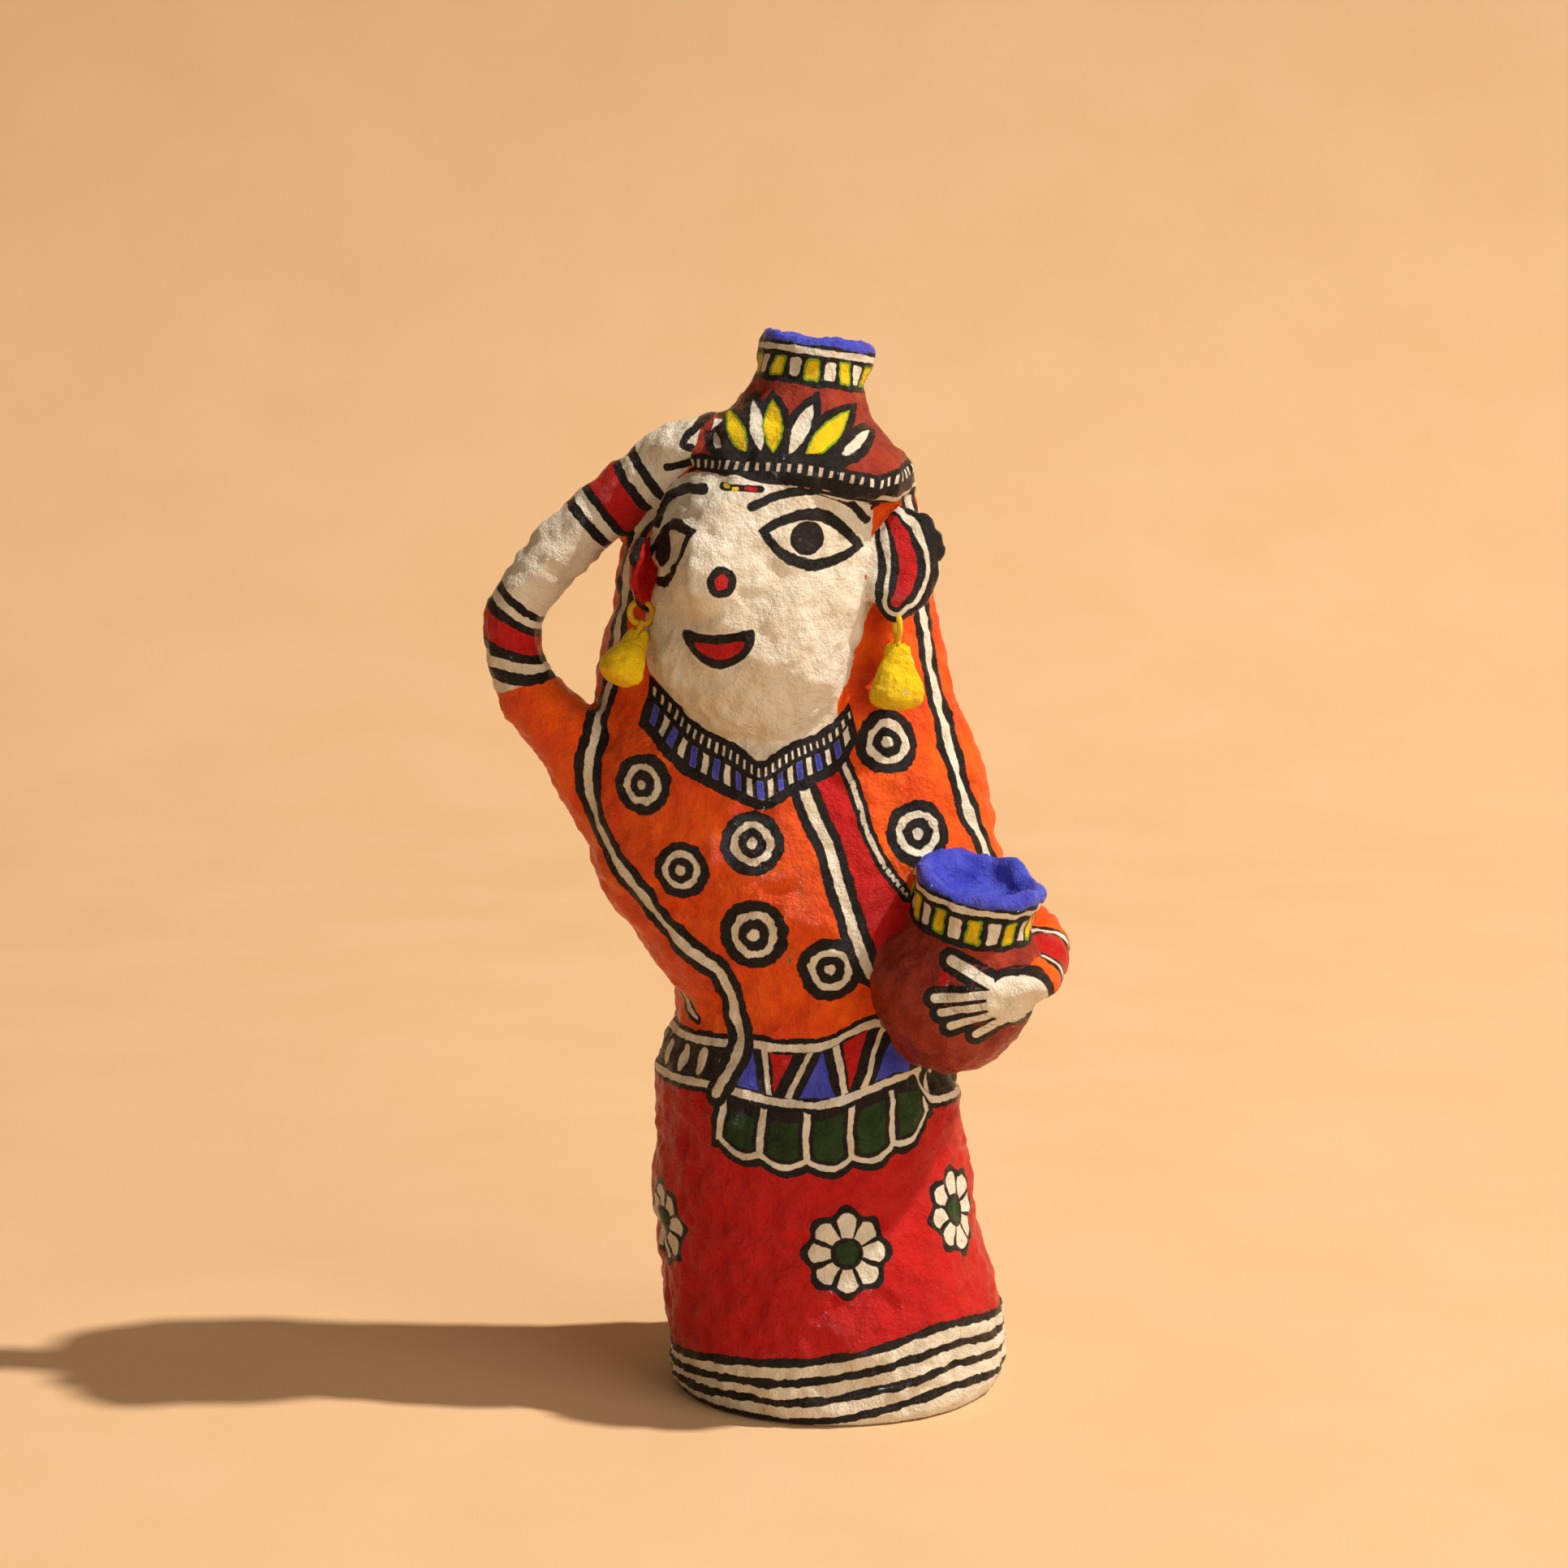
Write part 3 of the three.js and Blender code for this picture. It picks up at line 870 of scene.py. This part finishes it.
    def trim(self) -> None:
        """The broad cream and black edges, over the belt."""
        gap = self.board.number("trim")
        self.lay(Hue.BLACK, gap - 3.4, waver=0.8)
        self.lay(Hue.CREAM, gap - 1.2, waver=0.6)

    def collar(self) -> None:
        """Black collar with a row of small teeth over a row of blue and cream."""
        down, tall, _ = self.board.attribute("collar")
        turn = self.turn
        depth = down * tall
        inside = (abs(turn + 13) - 54).most(self.y + 8)
        self.lay(Hue.CREAM, (depth.most(depth * -1.0 - 12)).most(abs(turn + 8) - 42), self.y + 8)
        self.lay(Hue.BLACK, (depth * -1.0 - 0.9).most(depth - tall - 1.0), inside)
        teeth = abs(self.repeat(turn, 3.6)) * 2.1 - 0.34
        self.lay(Hue.CREAM, teeth.most(self.stripe(down, 0.2, 0.1) * tall), inside + 1, 0.3)
        panes = abs(self.repeat(turn, 5.2)) * 3 - 0.75
        room = self.stripe(down, 0.63, 0.2) * tall
        self.lay(Hue.CREAM, panes.most(room), inside + 1, 0.4)
        self.lay(Hue.BLUE, panes.most(room, self.parity(turn, 5.2)), inside + 1, 0.4)

    def sleeves(self) -> None:
        """Cream arms and hand, with red bangles."""
        arm = self.board.number("arm")
        along = self.board.number("arm_along")
        self.lay(Hue.CREAM, (along * -1.0 + 36).most(arm))
        leaning = along + (self.x + 74.5) * 0.4
        for off, bands in ((abs(leaning - 46.4), (9.7, 7.3, 5.1, 2.7)), (abs(along - 89), (10.4, 8.0, 5.5, 3.4))):
            self.bangle(off, bands, arm)
        hand = self.stroke((-28.6, 232.8), (-31.6, 230.2), (-34.6, 227.4), (-35.2, 225.6), (-33.4, 225.0))
        hand = hand.least(self.stroke((-39, 220.4), (-35, 221.2), (-31.4, 223.2), (-29.6, 228)))
        self.lay(Hue.MAROON, self.segment((-29.4, 231.4), (-31.4, 224)) - 1.3, arm.most(self.y + 2), 0.5)
        self.lay(Hue.BLACK, hand - 0.9, self.y + 2, 0.5)
        hip = self.board.number("hip_arm")
        self.bangle(abs(self.board.number("hip_along") - 28), (9.2, 7.8, 6.2, 4.7), hip)

    def bangle(self, off: Signal, bands: tuple, mask: Signal) -> None:
        """A red bangle between cream and black lines.

        Args:
            off: Distance from its middle.
            bands: How far each coat reaches, outermost first.
            mask: Distance outside the arm.
        """
        for hue, reach in zip((Hue.BLACK, Hue.CREAM, Hue.BLACK, Hue.RED), bands):
            self.lay(hue, off - reach, mask, 0.7)

    def pot(self, name: str, bands: dict) -> None:
        """A maroon pot with a blue mouth, and cream and yellow windows round its neck.

        Args:
            name: The pot's name on the mesh.
            bands: Heights of its neck, eaves and lip, its windows' step and half width, and its mouth's radius.
        """
        x, y, height = self.board.attribute(f"{name}_place")
        mask = self.board.number(name) - 0.2
        reach = self.length(x, y)
        angle = self.angle(x, y * -1.0)
        self.lay(Hue.MAROON, mask)
        neck, lip = bands["neck"], bands["lip"]
        self.lay(Hue.BLACK, neck - 1.7 - height, mask, 0.8)
        panes = abs(self.repeat(angle, bands["step"])) * (bands["step"] * 0.24) - bands["pane"]
        room = (neck - height).most(height - bands["eaves"])
        shape = self.board.math("SMOOTH_MAX", panes, room, 1.2)
        self.lay(Hue.CREAM, shape, mask, 0.6)
        self.coat(Hue.YELLOW, (shape - 0.3).most(self.parity(angle, bands["step"]) * 6), mask, 0.8)
        self.lay(Hue.CREAM, self.stripe(height, lip - 1.45, 0.75), mask, 0.5)
        self.lay(Hue.BLUE, (lip - height).least((reach - bands["inner"]).most(lip - 7 - height)), mask, 0.9)

    def head_pot(self) -> None:
        """The pot on her head, with its lotus and the toothed band over the brow."""
        mask = self.board.number("head_pot") - 0.2
        crown = mask.least(self.board.number("body") - 0.3)
        brim = self.board.number("brim")
        x, y, _ = self.board.attribute("head_pot_place")
        angle = self.angle(x, y * -1.0)
        self.lay(Hue.CREAM, mask.most(brim + 3.0, self.y + 10, abs(self.x + 16) - 26))
        self.pot("head_pot", {"neck": 26.9, "eaves": 31.1, "lip": 34.5, "step": 18, "pane": 1.35, "inner": 11.6})
        self.lay(Hue.ORANGE, mask.most(brim + 3.8))
        self.lay(Hue.CREAM, mask.most(brim + 3.8, self.y + 9, abs(self.x + 15) - 26))
        self.lay(Hue.MAROON, crown.most(0.6 - brim, brim - 14))
        front = (self.y + 9).most(mask)
        leaves = []
        for leaf in LOTUS:
            run, rise = leaf.tip[0] - leaf.base[0], leaf.tip[1] - leaf.base[1]
            long = math.hypot(run, rise)
            along = ((self.x - leaf.base[0]) * run + (self.z - leaf.base[1]) * rise) / long**2
            across = abs(((self.x - leaf.base[0]) * rise - (self.z - leaf.base[1]) * run) / long)
            leaves.append((leaf.hue, across - leaf.half * 3.7 * (along * (1 - along)).most(-0.6)))
        self.lay(Hue.BLACK, leaves[0][1].least(*[shape for _, shape in leaves[1:]]) - 2.0, front, 0.7)
        for hue, shape in leaves:
            self.coat(hue, shape, front, 0.6)
        self.lay(Hue.BLACK, self.segment((-27, 224), (1, 223.2)) - 1.5, front)
        side = (angle * -1.0 + 40) * 0.4
        self.lay(Hue.BLACK, crown.most(side, self.stripe(brim, -5.4, 1.6)))
        self.lay(Hue.CREAM, crown.most(side - 0.4, self.stripe(brim, -4.7, 0.55)), waver=0.4)
        self.lay(Hue.BLACK, (brim - 2.0).most(brim * -1.0 - 4.0), crown)
        teeth = abs(self.repeat(angle, 360 / 66)) * 2.5 - 0.45 - self.waver * 0.4
        self.lay(Hue.CREAM, teeth.most(abs(brim) - 0.95), crown, 0.6)
        brow = self.y + 12
        self.lay(Hue.BLACK, self.segment((-26, 217.7), (-17.4, 217.2)) - 0.75, brow, 0.3)
        for start, end, hue in (((-25.4, 217.9), (-24.8, 217.8), Hue.YELLOW),
                                ((-23.6, 217.3), (-22.8, 217.3), Hue.YELLOW),
                                ((-20.8, 217.4), (-18.6, 217.2), Hue.RED)):
            self.lay(hue, self.segment(start, end) - 0.42, brow, 0.2)
        self.lay(Hue.BLACK, self.stroke((-9, 217.2), (-1, 215.6), (6, 213.6), (11, 212.6)) - 0.45, brow, 0.3)

    def hip_pot(self) -> None:
        """The pot at her hip, with the hand spread on it."""
        self.pot("hip_pot", {"neck": 36.9, "eaves": 42.2, "lip": 45.9, "step": 18, "pane": 1.4, "inner": 12.8})
        hold = self.board.number("hip_pot").least(self.board.number("hip_arm"))
        hand = None
        for start, end, radius in FINGERS:
            finger = self.segment(start, end) - radius
            hand = finger if hand is None else hand.least(finger)
        front = hold.most(self.y + 24)
        self.lay(Hue.BLACK, hand - 1.7, front, 0.5)
        for start, end, radius in FINGERS:
            self.lay(Hue.CREAM, self.segment(start, end) - radius, front, 0.35)

    def face(self) -> None:
        """Cream face with inked brows, eyes, nose and mouth."""
        mask = self.board.number("face")
        self.lay(Hue.CREAM, mask)
        front = (self.y + 6).most(mask)
        for brow in (self.stroke((-19.6, 213.4), (-13, 216), (-5, 216.6), (2, 213.8), (6.4, 209)),
                     self.stroke((-41.4, 208), (-39.4, 213), (-35.4, 216), (-30.4, 217))):
            self.lay(Hue.BLACK, brow - 1.0, front, 0.5)
        u = (self.x + 6.2) * 0.975 - (self.z - 205.6) * 0.22
        v = (self.x + 6.2) * 0.22 + (self.z - 205.6) * 0.975
        self.eye(u, v, 11.4, 5.9, (0.9, 0.2), front)
        side = (self.x + 38.2) * 0.43 - (self.y + 24.7) * 0.74
        rise = self.z - 202.2
        self.eye(side + rise * 0.5, rise * 0.86 - side * 0.58, 11.5, 6.4, (1.8, 1.6), front)
        nose = self.length(self.x + 26.3, (self.z - 197.2) * 0.92)
        self.lay(Hue.BLACK, nose - 3.3, front, 0.6)
        self.lay(Hue.RED, nose - 1.5, front, 0.6)
        u, v = self.x + 27.2, self.z - 183.6
        mouth = self.board.math("SMOOTH_MAX", v - u * u * 0.024 - u * 0.045, u * u * 0.078 - u * 0.07 - 5.5 - v, 2.0)
        mouth = self.board.math("SMOOTH_MAX", mouth * 0.9, abs(u) - 7.6, 4.0)
        self.lay(Hue.BLACK, mouth - 1.0, front, 0.5)
        self.lay(Hue.RED, mouth + 0.9, front, 0.4)

    def eye(self, u: Signal, v: Signal, wide: float, high: float, pupil: tuple, front: Signal) -> None:
        """An almond eye with its outline and pupil.

        Args:
            u: Across from its middle.
            v: Up from its middle.
            wide: Its half width.
            high: Its half height.
            pupil: The pupil's place, left and up from the middle.
            front: Distance outside the front of the face.
        """
        lens = abs(v) - high + u * u * (high / wide**2)
        self.lay(Hue.BLACK, lens * 0.8 - 0.9, front, 0.6)
        self.lay(Hue.CREAM, lens * 0.8 + 1.4, front, 0.5)
        self.lay(Hue.BLACK, self.length(u + pupil[0], v - pupil[1]) - 3.8, front, 0.5)

    def ears(self) -> None:
        """The facing ear outlined with a red core, and the far one a red strip."""
        mask = self.board.number("left_ear")
        self.lay(Hue.CREAM, mask)
        self.lay(Hue.BLACK, mask.most(199 - self.z, 17 - self.x))
        for layer, hue in enumerate((Hue.BLACK, Hue.CREAM, Hue.BLACK, Hue.RED)):
            rim = None
            for (start, reach), (end, end_reach) in zip(EAR_CORE, EAR_CORE[1:]):
                gap, share = self.along(start, end)
                piece = gap - reach[layer] - share * (end_reach[layer] - reach[layer])
                rim = piece if rim is None else rim.least(piece)
            self.lay(hue, rim, mask, 0.45)
        mask = self.board.number("right_ear")
        self.lay(Hue.BLACK, mask)
        u, _, v = self.board.attribute("right_ear_place")
        self.lay(Hue.RED, (self.length(u, v) - 0.84) * 5, mask, 0.3)

    def paint(self) -> bpy.types.Material:
        """Lays every coat and finishes the surface.

        Returns:
            The painted material.
        """
        board = self.board
        board.colour = self.paints[Hue.ORANGE]
        self.skirt()
        self.apron()
        self.belt()
        self.veil()
        self.trim()
        self.face()
        self.collar()
        self.sleeves()
        self.ears()
        self.head_pot()
        self.hip_pot()
        self.lay(Hue.BARE_PULP, self.z - 0.35, waver=0.2)
        VarnishedPulp(0.34).finish(board)
        return board.material


@dataclass(frozen=True)
class VarnishedPulp:
    """Papier-mache laid by hand, brushed with poster colour and varnished.

    To the eye it is wrinkled and half matt, with small broken glints where the varnish lies on the creases.
    Sizes and depths are in millimetres.
    """

    matt: float
    crease: float = 4.5
    fibre: float = 1.1
    ripple: float = 0.9
    blotch: float = 14.0
    relief: float = 2.4
    glaze_relief: float = 1.6

    def finish(self, board: Board) -> None:
        """Adds the wrinkles and the varnish over the paint on a board.

        Args:
            board: The material being made.
        """
        crease = board.grain(self.crease, 6, 0.6, 1.0)
        fibre = board.grain(self.fibre, 4, 0.7, 2.0)
        height = crease * 0.55 + fibre * 0.3
        bump = board.add("ShaderNodeBump", inputs={
            "Strength": 1.0, "Distance": self.relief * MM, "Height": height})
        ripple = board.grain(self.ripple, 3, 0.6, 9.0) + crease * 1.4
        glaze = board.add("ShaderNodeBump", inputs={
            "Strength": 1.0, "Distance": self.glaze_relief * MM, "Height": ripple})
        depth = Signal(board, board.add("ShaderNodeRGBToBW", inputs={0: board.colour}).outputs[0])
        blotch = board.grain(self.blotch, 3, 0.6, 5.0)
        patchy = crease * 0.3 + blotch * 0.3 + depth * 0.35 + (self.matt - 0.08)
        shader = board.add("ShaderNodeBsdfPrincipled", inputs={
            "Base Color": board.colour, "Roughness": patchy, "Specular IOR Level": 0.06, "Normal": bump.outputs[0],
            "Coat Weight": 0.4, "Coat Roughness": 0.12, "Coat Normal": glaze.outputs[0]})
        board.add("ShaderNodeOutputMaterial", inputs={0: shader.outputs[0]})


@dataclass(frozen=True)
class YellowPulp:
    """Papier-mache brushed with one thin coat of yellow: the highest fibres are rubbed back to cream."""

    drift: float = 4.0
    wear: float = 2.2
    bare: str = "#D9CDA4"

    def material(self) -> bpy.types.Material:
        """The drops' material."""
        board = Board("Papier-mache, painted yellow")
        drift = board.add("ShaderNodeClamp", inputs={0: board.grain(self.drift, 4, 0.6) * 3 + 0.4}).outputs[0]
        board.colour = board.pigment(Hue.YELLOW, drift)
        board.lay(linear(self.bare), 0.2 - board.grain(self.wear, 3, 0.6, 7.0), 0.05)
        VarnishedPulp(0.5).finish(board)
        return board.material


@dataclass(frozen=True)
class CottonThread:
    """Two-ply cotton, dyed yellow and twisted: quite matt, its plies a shade apart."""

    ply: float = 0.8
    shades: tuple[str, str] = ("#C9980C", "#E8C21C")

    def material(self) -> bpy.types.Material:
        """The threads' material."""
        board = Board("Cotton thread, two-ply, dyed yellow")
        colour = board.mixed(board.grain(self.ply, 2) + 0.5, linear(self.shades[0]), linear(self.shades[1]))
        shader = board.add("ShaderNodeBsdfPrincipled", inputs={"Base Color": colour, "Roughness": 0.85})
        board.add("ShaderNodeOutputMaterial", inputs={0: shader.outputs[0]})
        return board.material


@dataclass(frozen=True)
class SweepPaper:
    """Uncoated background paper from a roll: matt, faintly cloudy, with a fine tooth."""

    cloud: float = 60.0
    tooth: float = 0.7
    relief: float = 0.3

    def material(self) -> bpy.types.Material:
        """The backdrop's material."""
        board = Board("Paper, warm tan, uncoated")
        drift = board.add("ShaderNodeClamp", inputs={0: board.grain(self.cloud, 3) * 1.5 + 0.5}).outputs[0]
        bump = board.add("ShaderNodeBump", inputs={
            "Strength": 0.15, "Distance": self.relief * MM, "Height": board.grain(self.tooth, 2)})
        shader = board.add("ShaderNodeBsdfPrincipled", inputs={
            "Base Color": board.pigment(Hue.PAPER, drift), "Roughness": 0.9, "Normal": bump.outputs[0],
            "Specular IOR Level": 0.2})
        board.add("ShaderNodeOutputMaterial", inputs={0: shader.outputs[0]})
        return board.material


# --- Forms ---------------------------------------------------------------------------------------------------------


def new_object(bm: bmesh.types.BMesh, name: str) -> bpy.types.Object:
    """Turns a bmesh into an object of the scene, at the origin and unturned."""
    mesh = bpy.data.meshes.new(name)
    bm.to_mesh(mesh)
    bm.free()
    obj = bpy.data.objects.new(name, mesh)
    bpy.context.scene.collection.objects.link(obj)
    return obj


@dataclass(frozen=True)
class PulpForm:
    """A form relaid in wet pulp over the solid's own shape. Lengths are in millimetres.

    Attributes:
        voxel: Spacing of the relaid mesh.
        smoothing: Rounds of easing.
        crumples: Pairs of feature size and depth.
        stands: Whether it stands on the floor, with a flat underside.
    """

    voxel: float
    smoothing: int
    crumples: tuple[tuple[float, float], ...]
    stands: bool

    def relay(self, source: bpy.types.Object, name: str) -> bpy.types.Object:
        """Copies a solid, rebuilds it evenly and eases its edges, as wet pulp would.

        Args:
            source: The solid.
            name: The new object's name.

        Returns:
            The new object.
        """
        bm = bmesh.new()
        bm.from_mesh(source.data)
        bmesh.ops.remove_doubles(bm, verts=bm.verts, dist=1e-6)
        obj = new_object(bm, name)
        remesh = obj.modifiers.new("even", "REMESH")
        remesh.mode = "VOXEL"
        remesh.voxel_size = self.voxel * MM
        smooth = obj.modifiers.new("ease", "SMOOTH")
        smooth.factor = 0.5
        smooth.iterations = self.smoothing
        bpy.context.view_layer.update()
        evaluated = obj.evaluated_get(bpy.context.evaluated_depsgraph_get())
        mesh = bpy.data.meshes.new_from_object(evaluated)
        obj.modifiers.clear()
        obj.data = mesh
        obj.data.shade_smooth()
        return obj

    def crumple(self, obj: bpy.types.Object) -> None:
        """Moves each vertex in or out by seeded noise of several sizes.

        Args:
            obj: The object to crumple.
        """
        mesh = obj.data
        normals = [v.normal.copy() for v in mesh.vertices]
        for vertex, normal in zip(mesh.vertices, normals):
            place = vertex.co / MM
            push = sum(depth * noise.noise(place / size + Vector((size, 3.1, 7.7))) for size, depth in self.crumples)
            still = min(1.0, max(0.0, place.z / 4)) if self.stands else 1.0
            vertex.co += normal * (push * still * MM)
            if self.stands and vertex.co.z < 0.25 * MM:
                vertex.co.z = 0.0
        mesh.update()


@dataclass(frozen=True)
class Figure:
    """The water carrier with both her pots, one painted piece."""

    pulp: PulpForm = PulpForm(1.02, 3, ((16, 0.9), (6, 0.9), (2.8, 0.65)), True)

    def build(self, source: bpy.types.Object) -> bpy.types.Object:
        """Lays, charts, crumples and paints the figure over its solid."""
        obj = self.pulp.relay(source, "figure_painted")
        chart_figure(Surface(obj))
        self.pulp.crumple(obj)
        obj.data.materials.append(FigurePainter().paint())
        return obj


@dataclass(frozen=True)
class Earring:
    """A yellow pulp drop on its thread."""

    drop_finish: bpy.types.Material
    thread_finish: bpy.types.Material
    pulp: PulpForm = PulpForm(0.42, 3, ((5, 0.5), (2, 0.3), (0.9, 0.12)), False)

    def build_drop(self, source: bpy.types.Object, name: str) -> bpy.types.Object:
        """Lays, crumples and paints a drop over its solid."""
        obj = self.pulp.relay(source, name)
        self.pulp.crumple(obj)
        obj.data.materials.append(self.drop_finish)
        return obj

    def dress_thread(self, strand: bpy.types.Object) -> None:
        """Gives the solid thread its dye."""
        strand.data.materials.clear()
        strand.data.materials.append(self.thread_finish)


class LampKind(Enum):
    """The lamps in the studio."""

    SPOT = "SPOT"
    SOFTBOX = "AREA"


@dataclass(frozen=True)
class Lamp:
    """A studio lamp: its kind, place in metres, watts, colour and the settings of its kind."""

    name: str
    kind: LampKind
    place: tuple[float, float, float]
    watts: float
    colour: str
    settings: dict[str, float]

    def light(self, aim: Vector) -> None:
        """Hangs the lamp, facing the aim."""
        lamp = bpy.data.lights.new(self.name, self.kind.value)
        lamp.energy = self.watts
        lamp.color = linear(self.colour)[:3]
        for key, value in self.settings.items():
            setattr(lamp, key, value)
        holder = bpy.data.objects.new(lamp.name, lamp)
        holder.location = self.place
        holder.visible_camera = False
        holder.rotation_euler = (aim - Vector(self.place)).to_track_quat("-Z", "Y").to_euler()
        bpy.context.scene.collection.objects.link(holder)


@dataclass(frozen=True)
class Studio:
    """Paper sweep, camera and lights. Lengths are in metres, but the lens and sensor in millimetres."""

    near: float = -1.4
    bend: float = 0.6
    bend_radius: float = 0.6
    top: float = 2.2
    half_width: float = 2.6
    lens: float = 97.0
    sensor: float = 36.0
    eye: tuple[float, float, float] = (-0.0123, -0.974, 0.325)
    pitch: float = 79.5
    aim: tuple[float, float, float] = (0, 0, 0.1)
    lamps: tuple[Lamp, ...] = (
        Lamp("key", LampKind.SPOT, (1.9, -0.22, 3.0), 620.0, "#FFF8F2",
             {"shadow_soft_size": 0.06, "spot_size": math.radians(66), "spot_blend": 1.0}),
        Lamp("fill", LampKind.SOFTBOX, (1.15, -1.15, 0.6), 15.0, "#FFF4EA", {"size": 1.2}),
    )
    air: str = "#FFEEDD"
    air_strength: float = 0.22

    def build(self) -> None:
        """Sets everything round the figure."""
        self.hang_paper()
        self.set_camera()
        for lamp in self.lamps:
            lamp.light(Vector(self.aim))
        self.fill_air()

    def hang_paper(self) -> None:
        """Draws the paper out from its near edge along the floor, round the bend and up."""
        radius = self.bend_radius
        profile = [(self.bend, 0)]
        profile += [(self.bend + radius * math.sin(a), radius - radius * math.cos(a))
                    for a in np.linspace(0.1, math.pi / 2, 14)]
        profile += [(self.bend + radius, self.top)]
        bm = bmesh.new()
        edge = bm.edges.new([bm.verts.new((x, self.near, 0)) for x in (self.half_width, -self.half_width)])
        for y, z in profile:
            drawn = bmesh.ops.extrude_edge_only(bm, edges=[edge])["geom"]
            edge = next(part for part in drawn if isinstance(part, bmesh.types.BMEdge))
            for vert in edge.verts:
                vert.co.y, vert.co.z = y, z
        sweep = new_object(bm, "paper_sweep")
        sweep.data.shade_smooth()
        sweep.data.materials.append(SweepPaper().material())

    def set_camera(self) -> None:
        """Sets the camera a little above her, looking slightly down."""
        camera = bpy.data.objects.new("camera", bpy.data.cameras.new("camera"))
        camera.data.lens = self.lens
        camera.data.sensor_width = self.sensor
        camera.location = self.eye
        camera.rotation_euler = (math.radians(self.pitch), 0, 0)
        bpy.context.scene.collection.objects.link(camera)
        bpy.context.scene.camera = camera

    def fill_air(self) -> None:
        """Fills the room with weak warm light."""
        world = bpy.data.worlds.new("studio")
        world.use_nodes = True
        world.node_tree.nodes["Background"].inputs[0].default_value = linear(self.air)
        world.node_tree.nodes["Background"].inputs[1].default_value = self.air_strength
        bpy.context.scene.world = world
        bpy.context.scene.view_settings.view_transform = "Standard"


def main() -> None:
    """Builds the figure, the earrings and the studio."""
    logging.basicConfig(level=logging.INFO)
    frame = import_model()
    nodes = frame["nodes"]
    figure = Figure().build(nodes["figure"])
    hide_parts("figure")
    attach(figure, "root")
    logger.info("figure %d triangles", sum(len(p.vertices) - 2 for p in figure.data.polygons))
    earring = Earring(YellowPulp().material(), CottonThread().material())
    for side in ("left", "right"):
        node = f"earring_drop_{side}"
        drop = earring.build_drop(nodes[node], f"{node}_painted")
        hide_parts(node)
        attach(drop, "root")
        strand = nodes[f"earring_thread_{side}"]
        earring.dress_thread(strand)
        logger.info("%s earring: drop %d faces, thread %d faces", side, len(drop.data.polygons),
                    len(strand.data.polygons))
    Studio().build()
    logger.info("studio set")


if __name__ == "__main__":
    main()
